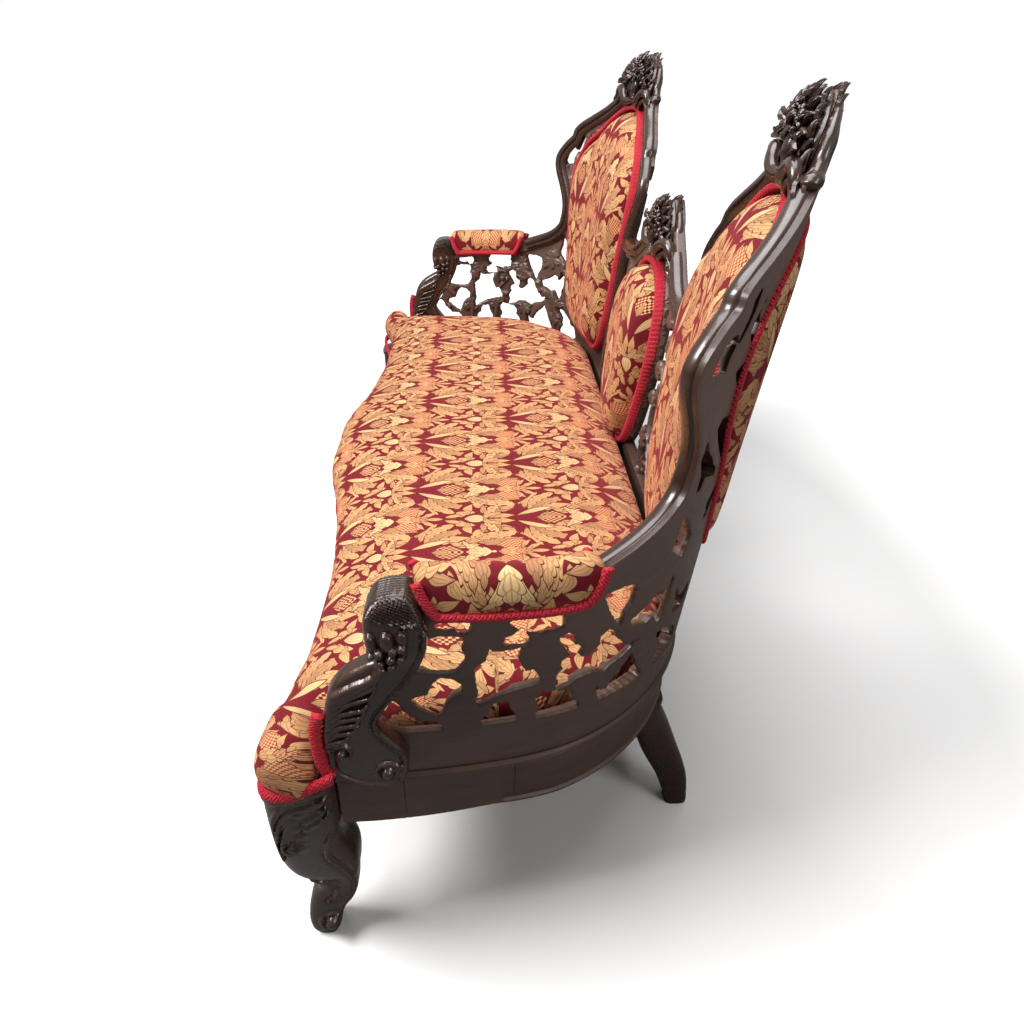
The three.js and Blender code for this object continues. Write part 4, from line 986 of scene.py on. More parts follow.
# openings of the fret, in half millimetres back and down from a corner ahead of the arm
fretCorner = (1.220, 1.120)
fretHoles = (
    ((270, 1120), (276, 1094), (300, 1050), (320, 1042), (376, 1045), (381, 1062), (370, 1080),
     (384, 1108), (378, 1124), (358, 1150), (330, 1153), (290, 1149), (258, 1142)),
    ((309, 1004), (340, 1001), (385, 995), (399, 1008), (390, 1029), (372, 1031), (362, 1015),
     (345, 1019), (322, 1016)),
    ((300, 1200), (318, 1178), (346, 1182), (373, 1205), (368, 1226), (345, 1241), (331, 1258),
     (322, 1286), (311, 1306), (281, 1286), (256, 1263), (240, 1251), (262, 1240), (286, 1235)),
    ((165, 1290), (190, 1244), (215, 1262), (224, 1290), (246, 1308), (263, 1327), (300, 1328),
     (321, 1347), (318, 1353), (230, 1353), (190, 1330)),
    ((404, 1150), (430, 1130), (440, 1088), (447, 1100), (470, 1100), (500, 1097), (516, 1092),
     (506, 1126), (519, 1160), (527, 1179), (546, 1174), (569, 1219), (520, 1229), (470, 1241),
     (430, 1263), (408, 1279), (404, 1258), (413, 1240), (407, 1200)),
    ((412, 1350), (425, 1330), (438, 1324), (440, 1300), (451, 1284), (486, 1280), (493, 1311),
     (506, 1336), (513, 1350)),
    ((555, 1355), (571, 1320), (554, 1290), (568, 1264), (600, 1270), (641, 1280), (656, 1301),
     (648, 1321), (668, 1340), (681, 1358)),
    ((738, 1365), (724, 1314), (741, 1336), (760, 1341), (769, 1320), (790, 1290), (801, 1284),
     (831, 1249), (851, 1285), (869, 1325), (896, 1366), (893, 1374)),
    ((930, 1244), (975, 1254), (1001, 1274), (1040, 1300), (1081, 1330), (1102, 1376), (1060, 1384),
     (955, 1372), (961, 1351), (976, 1340), (964, 1310), (971, 1290)),
    ((485, 1010), (500, 984), (531, 980), (600, 977), (611, 986), (604, 1005), (613, 1020),
     (608, 1042), (575, 1044), (561, 1051), (545, 1044), (520, 1040), (510, 1030), (499, 1021)),
    ((470, 1060), (492, 1049), (505, 1037), (523, 1047), (536, 1069), (530, 1081), (480, 1079)),
    ((611, 1096), (600, 1084), (622, 1069), (641, 1080), (643, 1115), (666, 1130), (655, 1160),
     (675, 1176), (701, 1160), (716, 1140), (709, 1120), (731, 1104), (756, 1120), (761, 1150),
     (780, 1170), (806, 1205), (843, 1200), (800, 1226), (760, 1236), (741, 1251), (700, 1233),
     (660, 1236), (641, 1251), (600, 1261), (615, 1240), (604, 1215), (621, 1190), (611, 1165),
     (641, 1150), (629, 1130), (619, 1110)),
    ((704, 975), (760, 974), (791, 985), (796, 1005), (790, 1036), (775, 1061), (768, 1101),
     (754, 1090), (741, 1060), (724, 1030), (714, 1000)),
    ((800, 1111), (830, 1100), (850, 1091), (880, 1067), (901, 1070), (911, 1091), (930, 1076),
     (941, 1040), (951, 1060), (951, 1110), (936, 1171), (925, 1191), (904, 1165), (890, 1141),
     (860, 1151), (840, 1140), (810, 1131)),
    ((984, 1114), (1001, 1135), (1011, 1160), (1040, 1181), (1081, 1170), (1121, 1200),
     (1091, 1251), (1050, 1236), (1011, 1215), (994, 1191), (1005, 1160)),
    ((918, 850), (946, 870), (966, 905), (986, 936), (965, 986), (930, 960), (904, 930),
     (914, 900)),
    ((1040, 872), (1090, 839), (1096, 885), (1070, 921), (1040, 916), (1062, 900)),
)
fretLeaves = (
    # along, up, reach, angle, height
    (993, 606, 29, -95, 9), (1012, 573, 17, -60, 8), (881, 607, 30, -90, 9),
    (871, 572, 18, -110, 8), (788, 632, 26, 200, 8), (1031, 490, 28, 90, 9), (954, 493, 24, 95, 9),
    (868, 488, 27, 85, 9), (782, 548, 36, 170, 10), (760, 506, 24, 100, 8), (762, 470, 20, 90, 7),
    (1084, 552, 26, 190, 9), (722, 604, 24, 60, 8), (744, 668, 22, 120, 8), (700, 545, 22, 70, 8),
    (690, 500, 24, 100, 8),
)
fretStems = (
    ((1128, 540), (1100, 534), (1072, 508), (1040, 496), (1012, 494), (984, 512), (960, 520),
     (930, 518), (902, 506), (880, 500), (856, 512), (832, 530), (800, 548)),
    ((1100, 470), (1084, 490), (1070, 508)), ((1004, 588), (1022, 566), (1050, 556), (1084, 556)),
    ((881, 600), (862, 580), (836, 562), (806, 552)), ((788, 650), (790, 626), (812, 606)),
    ((744, 668), (747, 630), (752, 590), (770, 560)),
    ((743, 640), (722, 604), (700, 552), (694, 500)),
    ((782, 548), (765, 520), (758, 480), (760, 440)), ((954, 500), (953, 470), (953, 436)),
    ((1031, 494), (1027, 466), (1026, 436)), ((868, 490), (864, 460), (862, 436)),
    ((700, 545), (694, 520), (690, 470), (690, 436)), ((744, 668), (720, 690), (716, 720)),
)
fretGrapes = (
    # tip, ball, how many in each row, angle
    ((988, 594), 5.6, (3, 4, 3, 2, 1), -100), ((884, 596), 5.6, (3, 4, 3, 2), -80),
    ((786, 560), 6, (3, 4, 3, 2, 1), -95), ((1030, 506), 5, (2, 3, 2), -90),
    ((955, 506), 5, (2, 3, 2), -90), ((870, 502), 5, (2, 3, 2), -90),
)
upperLeaves = (
    (738, 716, 20, 90, 7), (734, 760, 18, 100, 7), (738, 800, 20, 80, 8), (744, 845, 18, 110, 7),
    (752, 952, 16, 60, 7), (722, 962, 24, 120, 9), (694, 985, 26, 100, 9), (660, 1004, 24, 90, 9),
    (630, 1030, 26, 70, 9), (598, 1050, 24, 100, 9), (716, 930, 16, 40, 7), (744, 900, 12, 90, 6),
)
# openings beside the medallion, as closed outlines about the tall back's axis
slots = (
    ((0.180, 0.977), (0.188, 0.965), (0.189, 0.950), (0.196, 0.932), (0.201, 0.918), (0.196, 0.917),
     (0.187, 0.932), (0.179, 0.952), (0.177, 0.972)),
    ((0.227, 0.910), (0.222, 0.922), (0.212, 0.931), (0.202, 0.931), (0.200, 0.920), (0.207, 0.905),
     (0.209, 0.889), (0.227, 0.885), (0.232, 0.893)),
    ((0.160, 0.962), (0.157, 0.954), (0.170, 0.944), (0.175, 0.926), (0.170, 0.914), (0.157, 0.900),
     (0.165, 0.885), (0.185, 0.880), (0.172, 0.860), (0.160, 0.880), (0.154, 0.902), (0.164, 0.918),
     (0.157, 0.930), (0.165, 0.942)),
    ((0.214, 0.816), (0.207, 0.800), (0.210, 0.775), (0.200, 0.750), (0.202, 0.724), (0.192, 0.724),
     (0.187, 0.740), (0.176, 0.736), (0.157, 0.728), (0.158, 0.741), (0.170, 0.750), (0.181, 0.766),
     (0.193, 0.778), (0.203, 0.796)),
    ((0.184, 0.820), (0.170, 0.818), (0.156, 0.790), (0.152, 0.762), (0.146, 0.745), (0.166, 0.770),
     (0.180, 0.790), (0.190, 0.810)),
)
# where the wall ends inside the arm post, as (height, along)
postEdge = (
    (0.360, 1.149), (0.385, 1.130), (0.408, 1.120), (0.430, 1.136), (0.450, 1.156), (0.480, 1.146),
    (0.504, 1.120), (0.550, 1.100), (0.598, 1.086), (0.640, 1.084), (0.660, 1.084),
)
sideWall = {
    "innerS": 0.322, "endS": 1.190, "footZ": 0.3647, "shoulderZ": 0.770, "teeth": 0.0011,
    "thin": 0.0105, "edgeRoll": 0.005, "proud": 0.003, "chamfer": 0.0012, "chamferRun": 0.0016,
}


def wallOutline():
    up = [(tallAxis - o, z) for o, z in tallEdge]
    down = [(tallAxis + o, z) for o, z in reversed(tallEdge)]
    top = smoothLoop(up + down[1:] + list(armEdge), 240, closed=False)
    inner, foot = sideWall["innerS"], sideWall["footZ"]
    return np.vstack([
        [(inner, foot), (inner, sideWall["shoulderZ"])], top, [(sideWall["endS"], foot)],
    ])


wallShape = wallOutline()
padShape = smoothLoop(mirrored(tallHalf), 80) + [tallAxis, 0]
crestBoard = smoothLoop(mirrored(crestOutline), 110)


def crestField(aside, z, footZ, wide=1.0, tall=1.0):
    return polygonField(aside / wide, crestSpan["footZ"] + (z - footZ) / tall, crestBoard)


def fretHole(s, z):
    # the widest of the openings, with toothed edges; each reaches a little below its lit part
    s = s + sideWall["teeth"] * (2 * np.abs((z / 0.0105) % 1 - 0.5) - 0.5)
    z = z + sideWall["teeth"] * (2 * np.abs((s / 0.0125) % 1 - 0.5) - 0.5)
    holes = np.full(s.shape, -1.0)
    for outline in fretHoles:
        shape = np.array(fretCorner) - np.array(outline) * 0.5 * mm
        for down in (0, 0.005):
            holes = np.maximum(holes, polygonField(s, z + down, shape))
    return holes


def sideShapes(s, z):
    shapes = leaves(s, z, fretLeaves, 1.12)
    shapes += [stem(s, z, np.array(p) * mm, 0.0066, 0.0068, 0.85) for p in fretStems]
    shapes += [
        grapes(s, z, (p[0] * mm, p[1] * mm), ball * mm, rows, turn, 0.008)
        for p, ball, rows, turn in fretGrapes
    ]
    # the hooked tendril and its berry
    turn = math.radians(200) - np.linspace(0, 1, 14) * math.radians(250)
    hook = np.stack([0.936 + 0.016 * np.cos(turn), 0.566 + 0.018 * np.sin(turn)], axis=1)
    shapes.append(stem(s, z, np.vstack([[(0.957, 0.520)], hook]), 0.004, 0.006, 0.9))
    away = np.hypot(s - 0.934, z - 0.562)
    shapes.append((0.0085 - away, 0.004 + ballTop(0.0085, away)))
    return gather(shapes)


def sideField(s, z):
    board = crestField(s - tallAxis, z, crestSpan["footZ"])
    field = np.minimum(np.maximum(polygonField(s, z, wallShape), board), -fretHole(s, z))
    field = np.minimum(field, np.interp(z, *np.array(postEdge).T) - s)
    for outline in slots:
        hole = polygonField(s - tallAxis, z, outline)
        if outline[0][1] > 0.85:
            hole = np.maximum(hole, polygonField(tallAxis - s, z, outline))
        field = np.minimum(field, -hole)
    return field


def panelFaces(rise, full, field):
    # places in full keep the wall's thickness; elsewhere reliefs stand on a thinner ground
    inner = np.where(full, wall["thickness"], sideWall["thin"] + rise)
    inner = np.minimum(inner, wall["thickness"] + sideWall["proud"])
    inner = inner - rolled(field, sideWall["edgeRoll"]) * 0.8
    outer = sideWall["chamfer"] * (1 - np.clip(field / sideWall["chamferRun"], 0, 1))
    return -inner, -outer


def sideFaces(s, z, field):
    _, vines = sideShapes(s, z)
    highRows = [row for row in upperLeaves if row[1] > 780]
    _, upper = gather(leaves(s, z, upperLeaves) + leaves(2 * tallAxis - s, z, highRows))
    rise = np.maximum(vines * (z < 0.70), upper) * smooth(field / 0.004)
    under = np.maximum(0.031 - polygonField(s, z, wallShape), polygonField(s, z, padShape) + 0.010)
    near, far = panelFaces(rise, (z < 0.4300) | (under > 0) | (z > 1.095), field)
    return near, far - 0.011 * smooth((z - 1.095) / 0.055)


def finishPanel(name, mesh, node):
    piece = finishPiece(name, mesh, node, panelWood, 38)
    piece.data.materials.append(sawnWood)


sLines = np.r_[np.arange(0.3195, 0.66, 0.0042), np.arange(0.6615, 1.1935, 0.0024)]
zLines = np.r_[
    np.arange(0.362, 0.426, 0.0055), np.arange(0.4275, 0.668, 0.0024),
    np.arange(0.670, 1.164, 0.0036),
]
for side, sign in sides:
    name = side + "SideWall"
    mesh = panelMesh(name, sLines, zLines, sideField, sideFaces, lambda p: bend(p * [sign, 1, 1]))
    finishPanel(name, mesh, side + "_side_wall")
print("side walls ready")

# Mouldings with a double bead follow the edges of the back. The profile is (inward, proud).
moulding = {"stopZ": 0.470, "spacing": 0.006}
mouldingProfile = (
    (0.0040, -0.0125), (0.0008, -0.0122), (-0.0012, -0.0104), (-0.0021, -0.0075),
    (-0.0021, -0.0040), (-0.0016, -0.0002), (-0.0004, 0.0035), (0.0018, 0.0070),
    (0.0050, 0.0088), (0.0090, 0.0088), (0.0125, 0.0080), (0.0142, 0.0045),
    (0.0158, 0.0042), (0.0172, 0.0072), (0.0200, 0.0088), (0.0232, 0.0080),
    (0.0258, 0.0048), (0.0280, 0.0022), (0.0280, 0.0),
)


def flatSweep(name, path, profile):
    # sweeps a profile along an edge of the panel, still flat
    path = np.asarray(path, float)
    padded = np.pad(np.gradient(path, axis=0), ((2, 2), (0, 0)), mode="edge")
    kernel = np.ones(5) / 5
    ahead = np.stack([np.convolve(padded[:, i], kernel, "valid") for i in range(2)], axis=1)
    ahead = unit(ahead)
    inward = np.stack([ahead[:, 1], -ahead[:, 0], np.zeros(len(path))], axis=1)
    return sweepMesh(name, np.c_[path, np.full(len(path), frontN)], inward, (0, 0, -1), profile)


def bentPiece(name, mesh, sign, node, material):
    setCoords(mesh, bend(coords(mesh) * [sign, 1, 1]))
    return finishPiece(name, faceOutward(mesh), node, material)


def edgeRun(points):
    points = np.asarray(points, float)
    length = np.linalg.norm(np.diff(points, axis=0), axis=1).sum()
    return smoothLoop(points, int(length / moulding["spacing"]) + 2, closed=False)


crestGap = 0.081
shoulder = [(tallAxis + crestGap, 1.0660)]
shoulder += [(tallAxis + o, z) for o, z in reversed(tallEdge) if o > crestGap]
outerRun = shoulder + [p for p in armEdge if p[0] < 0.93]
innerRun = [(2 * tallAxis - s, z) for s, z in shoulder]
innerRun += [(0.3225, 0.748), (0.3223, moulding["stopZ"])]
centreEdge = (
    (0, 0.905), (0.0386, 0.901), (0.077, 0.879), (0.129, 0.848), (0.187, 0.811), (0.245, 0.792),
    (0.3217, 0.787),
)
centreRun = [(0.112, 0.8575)] + [p for p in centreEdge if p[0] > 0.12]
for side, sign in sides:
    for part, run in (("outer", outerRun), ("inner", innerRun), ("centre", centreRun)):
        name = side + part.title() + "Rim"
        line = edgeRun(run)[::-1] if part == "inner" else edgeRun(run)
        mesh = flatSweep(name, line, mouldingProfile)
        bentPiece(name, mesh, sign, f"{side}_{part}_rim", carvedWood)
print("mouldings ready")

# The centre back: a lower pierced panel between the two tall backs.
centreBack = {"half": 0.3217, "footZ": 0.365, "sillZ": 0.446, "frameS": 0.296, "band": 0.034}
centreLeaves = (
    (202, 708, 27, 60, 9), (268, 722, 24, 20, 8), (160, 650, 22, 150, 8), (247, 604, 30, -60, 9),
    (152, 505, 26, 100, 9), (216, 536, 24, 80, 8), (282, 505, 20, 60, 8), (190, 466, 22, 90, 8),
    (258, 466, 20, 90, 8), (168, 752, 24, 120, 9), (246, 766, 22, 60, 8), (130, 838, 24, 120, 9),
    (92, 862, 22, 100, 9), (60, 878, 18, 90, 8), (284, 640, 18, 0, 7), (148, 590, 18, 160, 7),
    (140, 795, 20, 140, 8), (196, 620, 20, 200, 8),
)
centreStems = (
    ((130, 800), (180, 780), (228, 742), (240, 690), (214, 640), (180, 590), (182, 540),
     (214, 498), (252, 450)),
    ((240, 690), (276, 656), (290, 600), (268, 548), (250, 500), (250, 440)),
    ((228, 742), (262, 752), (302, 756)), ((150, 650), (180, 660), (212, 642)),
    ((182, 540), (160, 520), (150, 480), (160, 440)), ((205, 700), (232, 712), (268, 722)),
    ((140, 590), (165, 596), (184, 588)), ((216, 536), (246, 530), (300, 520)),
    ((268, 548), (286, 530), (304, 524)), ((190, 440), (192, 470), (206, 500)),
    ((284, 640), (300, 640), (310, 640)), ((168, 752), (150, 740), (134, 730)),
)


def centreShapes(s, z):
    a = np.abs(s)
    shapes = leaves(a, z, centreLeaves)
    shapes += [stem(a, z, np.array(p) * mm, 0.0062, 0.0075, 0.85) for p in centreStems]
    shapes.append(grapes(a, z, (0.247, 0.612), 0.0058, (3, 4, 3, 2), -90, 0.008))
    return gather(shapes)


centreTop = edgeRun(centreEdge)
centreFoot = [(way * centreBack["half"], centreBack["footZ"]) for way in (-1, 1)]
centreShape = np.vstack([centreTop[::-1], centreTop[1:] * [-1, 1], centreFoot])
centrePadShape = smoothLoop(mirrored(centreHalf), 60)


def centreField(s, z):
    outline = polygonField(s, z, centreShape)
    board = crestField(s, z, crestSpan["lowZ"], crestSpan["wide"], crestSpan["tall"])
    vines, _ = centreShapes(s, z)
    band = np.maximum(centreBack["sillZ"] - z, np.abs(s) - centreBack["frameS"])
    band = np.maximum(band, centreBack["band"] - np.where(z > 0.75, outline, 1))
    band = np.maximum(band, polygonField(s, z, centrePadShape) + 0.010)
    return np.maximum(np.minimum(outline, np.maximum(vines, band)), board)


def centreFaces(s, z, field):
    _, rise = centreShapes(s, z)
    under = 0.031 - np.where(z > 0.75, polygonField(s, z, centreShape), 1)
    under = np.maximum(polygonField(s, z, centrePadShape) + 0.010, under)
    return panelFaces(rise, (z < 0.442) | (under > 0) | (z > 0.895), field)


sLines = np.linspace(-0.3235, 0.3235, 221)
zLines = np.r_[np.arange(0.3635, 0.44, 0.006), np.arange(0.4415, 0.945, 0.003)]
centrePanel = panelMesh("centreBack", sLines, zLines, centreField, centreFaces, bend)
finishPanel("centreBack", centrePanel, "centre_back")
print("centre back ready")

# Arm posts: a scrolled profile with a feathered head, grapes, an acanthus leaf and two volutes.
# Outlines are (y, z) as read off the photograph, and postPlace fits them to the frame.
post = {
    "middleX": 0.868, "eyeY": -0.048, "widen": 1.02, "readZ": 0.3904, "footZ": 0.3655,
    "fit": 0.3115 / 0.3023, "step": 0.0016, "half": 0.0165, "headHalf": 0.0045, "roll": 0.010,
    "grape": 0.0062,
}
postOutline = (
    (-0.1190, 0.6347), (-0.1234, 0.6028), (-0.1429, 0.5634), (-0.1695, 0.5297), (-0.1857, 0.5040),
    (-0.1852, 0.4893), (-0.1725, 0.4713), (-0.1579, 0.4504), (-0.1541, 0.4268), (-0.1595, 0.4031),
    (-0.1753, 0.3904), (-0.2087, 0.3920), (-0.2371, 0.4042), (-0.2532, 0.4236), (-0.2552, 0.4523),
    (-0.2556, 0.4850), (-0.2479, 0.5258), (-0.2377, 0.5534), (-0.2182, 0.5754), (-0.1931, 0.5900),
    (-0.1789, 0.5983), (-0.1871, 0.6181), (-0.1909, 0.6373), (-0.1875, 0.6640), (-0.1724, 0.6876),
    (-0.1482, 0.6927), (-0.1342, 0.6883), (-0.1245, 0.6660),
)
postBead = (
    (-0.1205, 0.6347), (-0.1250, 0.6028), (-0.1460, 0.5623), (-0.1725, 0.5290), (-0.1885, 0.5035),
    (-0.1875, 0.4875), (-0.1745, 0.4690), (-0.1605, 0.4500), (-0.1566, 0.4268), (-0.1620, 0.4055),
    (-0.1765, 0.3935), (-0.2087, 0.3945), (-0.2355, 0.4065), (-0.2508, 0.4250), (-0.2527, 0.4523),
)
postStrokes = (
    # from the tip over the smooth cove forward to the leading edge, with the girth at the tip
    (((-0.1755, 0.5872), (-0.1815, 0.5760), (-0.1905, 0.5690), (-0.2085, 0.5590), (-0.2295, 0.5455),
      (-0.2430, 0.5320)), 0.0050),
    (((-0.1830, 0.5650), (-0.1900, 0.5590), (-0.2020, 0.5530), (-0.2150, 0.5470), (-0.2335, 0.5355),
      (-0.2465, 0.5220)), 0.0030),
    (((-0.1850, 0.5560), (-0.1905, 0.5470), (-0.2000, 0.5430), (-0.2130, 0.5390), (-0.2320, 0.5280),
      (-0.2480, 0.5140)), 0.0026),
    (((-0.1950, 0.5345), (-0.2020, 0.5270), (-0.2110, 0.5250), (-0.2220, 0.5225), (-0.2330, 0.5185),
      (-0.2490, 0.5060)), 0.0030),
    (((-0.1990, 0.5240), (-0.2050, 0.5160), (-0.2140, 0.5140), (-0.2250, 0.5120), (-0.2380, 0.5070),
      (-0.2510, 0.4970)), 0.0026),
    (((-0.2070, 0.5120), (-0.2130, 0.5040), (-0.2230, 0.5020), (-0.2350, 0.4985),
      (-0.2520, 0.4880)), 0.0030),
    (((-0.2100, 0.5010), (-0.2170, 0.4920), (-0.2260, 0.4900), (-0.2370, 0.4880),
      (-0.2535, 0.4790)), 0.0028),
    (((-0.2240, 0.4830), (-0.2310, 0.4770), (-0.2400, 0.4750), (-0.2540, 0.4700)), 0.0030),
)
# the turned-over flower of the head: petals as (y, z, half width, half height), grapes as (y, z)
postPetals = (
    (-0.1828, 0.6290, 0.0068, 0.0135), (-0.1640, 0.6310, 0.0088, 0.0125),
    (-0.1462, 0.6370, 0.0066, 0.0095),
)
postGrapes = (
    (-0.1837, 0.6127), (-0.1739, 0.6165), (-0.1735, 0.6010), (-0.1612, 0.6081), (-0.1492, 0.6086),
    (-0.1612, 0.5948), (-0.1473, 0.6235), (-0.1580, 0.6200), (-0.1725, 0.5900),
)


def postPlace(points):
    pts = np.asarray(points, float)
    y = post["eyeY"] + (pts[:, 0] - post["eyeY"]) * post["widen"]
    return np.stack([y, post["footZ"] + (pts[:, 1] - post["readZ"]) * post["fit"]], axis=1)


postShape = smoothLoop(postPlace(postOutline), 160)
postBeadLine = smoothLoop(postPlace(postBead), 80, closed=False)
postEye, postBoss, postFan = postPlace([(-0.1812, 0.4168), (-0.2350, 0.4530), (-0.1640, 0.6350)])


def postCluster(y, z):
    ball = post["grape"]
    field = np.max([ball - np.hypot(y - p[0], z - p[1]) for p in postPlace(postGrapes)], axis=0)
    return field, ballTop(ball, ball - np.maximum(field, 0))


def postField(y, z):
    return np.maximum(polygonField(y, z, postShape), postCluster(y, z)[0])


def postFaces(y, z, field):
    half = post["half"] + post["headHalf"] * smooth((z - 0.565) / 0.03)
    bead, _ = pathDistance(y, z, postBeadLine)
    rises = [0.0034 * dome(bead / 0.0040)]
    groove = -0.0026 * bell(bead - 0.0064, 0.0017)
    for stroke, girth in postStrokes:
        f, rise = stem(y, z, postPlace(stroke), girth, 0.0078, 1.9)
        rises.append(rise * (f > 0))
    for at, size, begin, clockwise in ((postEye, 0.0195, 20, False), (postBoss, 0.0155, 120, True)):
        away = np.hypot(y - at[0], z - at[1])
        _, rise = spiral(y, z, at, size, 1.1, begin, 0.0036, 0.0048, clockwise)
        rises.append(np.maximum(rise, 0.0085 * dome(away / (size * 0.42))))
        groove = groove - 0.0020 * bell(away - size * 0.62, 0.0018)
    f, cluster = postCluster(y, z)
    rises.append((0.0050 + cluster * 1.15) * (f > 0))
    # the head's strands fan out from behind the petals
    head = smooth((z - 0.628 + 0.25 * (y + 0.164)) / 0.006) * smooth((0.020 + field) / 0.002)
    lean = (y - postFan[0]) * 0.93 + (z - postFan[1]) * 0.42 + 0.5 * (z - postFan[1]) ** 2 / 0.03
    strand = 0.5 + 0.5 * np.sin(lean * math.tau / 0.0078)
    crown = (z > 0.640 - 0.3 * (y + 0.164)) & (f < 0)
    rises.append(crown * (0.0024 + 0.0040 * strand) * head)
    for (_, _, wide, tall), at in zip(postPetals, postPlace([row[:2] for row in postPetals])):
        bulge = 1 - ((y - at[0]) / wide) ** 2 - ((z - at[1]) / tall) ** 2
        rises.append((0.0035 + 0.0055 * np.sqrt(np.clip(bulge, 0, 1))) * (bulge > 0) * (f < 0))
    body = half + np.max(rises, axis=0) + groove - rolled(field, post["roll"]) * 0.9
    return body, -body


yLines = np.arange(-0.2705, -0.112, post["step"])
zLines = np.arange(0.3635, 0.6805, post["step"])
for side, sign in sides:
    name = side + "ArmPost"
    mesh = panelMesh(
        name, yLines, zLines, postField, postFaces,
        lambda p: np.stack([sign * (post["middleX"] + p[:, 2]), p[:, 0], p[:, 1]], axis=1),
    )
    mesh.polygons.foreach_set("material_index", np.zeros(len(mesh.polygons), dtype=np.int32))
    finishPiece(name, mesh, side + "_arm_post", postWood, 50)
print("arm posts ready")

# Legs: smooth lofts from level tables of (height, aside, back, half width, half depth).
frontLeg = {
    "x": 0.8435, "y": -0.308, "height": 0.3304, "halfWidth": 0.0455, "halfDepth": 0.0495,
    "rings": 150, "around": 120, "carved": True,
}
frontLegLevels = (
    (0, -0.25, -0.1, 0.44, 0.34), (0.05, -0.25, -0.1, 0.56, 0.46),
    (0.12, -0.25, -0.06, 0.60, 0.52), (0.20, -0.25, 0.08, 0.60, 0.58),
    (0.27, -0.25, 0.30, 0.60, 0.66), (0.34, -0.25, 0.49, 0.60, 0.60),
    (0.41, -0.23, 0.48, 0.64, 0.66), (0.50, -0.17, 0.26, 0.78, 0.98),
    (0.60, -0.12, 0.15, 0.86, 1.10),
    (0.72, -0.06, 0, 0.94, 1), (0.84, 0, 0, 1, 1), (1, 0, 0, 1, 1),
)
rearLeg = {
    "x": 0.615, "y": 0.212, "height": 0.2576, "halfWidth": 0.025, "halfDepth": 0.024,
    "rings": 50, "around": 40, "carved": False,
}
rearLegLevels = (
    (0, -0.1, 2.9, 0.78, 0.84), (0.06, -0.1, 2.85, 0.84, 0.88), (0.28, -0.06, 2.3, 0.84, 1.14),
    (0.52, -0.04, 1.25, 0.92, 1.32), (0.74, 0, 0.42, 1, 1.3), (0.91, 0, -0.16, 1, 1.16),
    (1, 0, 0, 1, 1),
)
legTop = {"front": 0.019, "rear": 0.034, "startY": -0.345, "endY": -0.262}
legCarving = (
    # strokes on the outer face as (y, height), with the girth and how it ends
    (((-0.257, 0.350), (-0.285, 0.340), (-0.306, 0.320), (-0.322, 0.299), (-0.332, 0.277),
      (-0.338, 0.255), (-0.335, 0.241), (-0.325, 0.240), (-0.319, 0.249)), 0.0040, 0.8),
    (((-0.270, 0.345), (-0.291, 0.332), (-0.308, 0.312), (-0.320, 0.291), (-0.328, 0.268)),
     0.0032, 0.8),
    (((-0.270, 0.330), (-0.283, 0.318), (-0.303, 0.301), (-0.316, 0.287), (-0.321, 0.274)),
     0.0036, 0.7),
    (((-0.284, 0.305), (-0.297, 0.294), (-0.309, 0.278)), 0.0034, 0.6),
    (((-0.300, 0.336), (-0.326, 0.320), (-0.337, 0.298), (-0.343, 0.270)), 0.0032, 0.9),
    (((-0.322, 0.338), (-0.339, 0.318), (-0.347, 0.290), (-0.346, 0.250), (-0.343, 0.222)),
     0.0038, 0.9),
    (((-0.250, 0.330), (-0.262, 0.322), (-0.275, 0.312)), 0.0040, 0.5),
)
legLines = (
    # grooves beside raised edges: the rear band and the leaf over the ankle
    (((-0.256, 0.290), (-0.272, 0.262), (-0.281, 0.238), (-0.281, 0.218), (-0.270, 0.197),
      (-0.259, 0.166), (-0.254, 0.136), (-0.258, 0.102), (-0.266, 0.078)), 0.0030),
    (((-0.316, 0.150), (-0.302, 0.139), (-0.291, 0.141), (-0.287, 0.128), (-0.284, 0.114),
      (-0.288, 0.101), (-0.300, 0.090)), 0.0022),
)
legBalls = ((-0.3265, 0.2500, 0.0075), (-0.2975, 0.0420, 0.0125))


def legRelief(depth, z, lift, height):
    # the carving's height at places (depth, z) of one face
    rise = np.zeros(len(z))
    for stroke, girth, tip in legCarving:
        f, h = stem(depth, z, stroke, girth * 1.1, 0.0085, tip)
        rise = np.maximum(rise, h * (f > 0))
    for at, up, ball in legBalls:
        d = np.hypot(depth - at, z - up)
        rise = np.maximum(rise, 1.1 * ballTop(ball, d))
        rise = np.maximum(rise, 0.0050 * bell(d - ball * 1.55, 0.0020))
    for line, girth in legLines:
        d, _ = pathDistance(depth, z, smoothLoop(line, 30, closed=False))
        rise = rise + 0.0034 * bell(d, girth) * (rise < 0.001)
        rise = rise - 0.0026 * bell(d - girth * 1.8, 0.0020) * (rise < 0.001)
    return rise + 0.0030 * smooth((z - height - lift + 0.012) / 0.004)


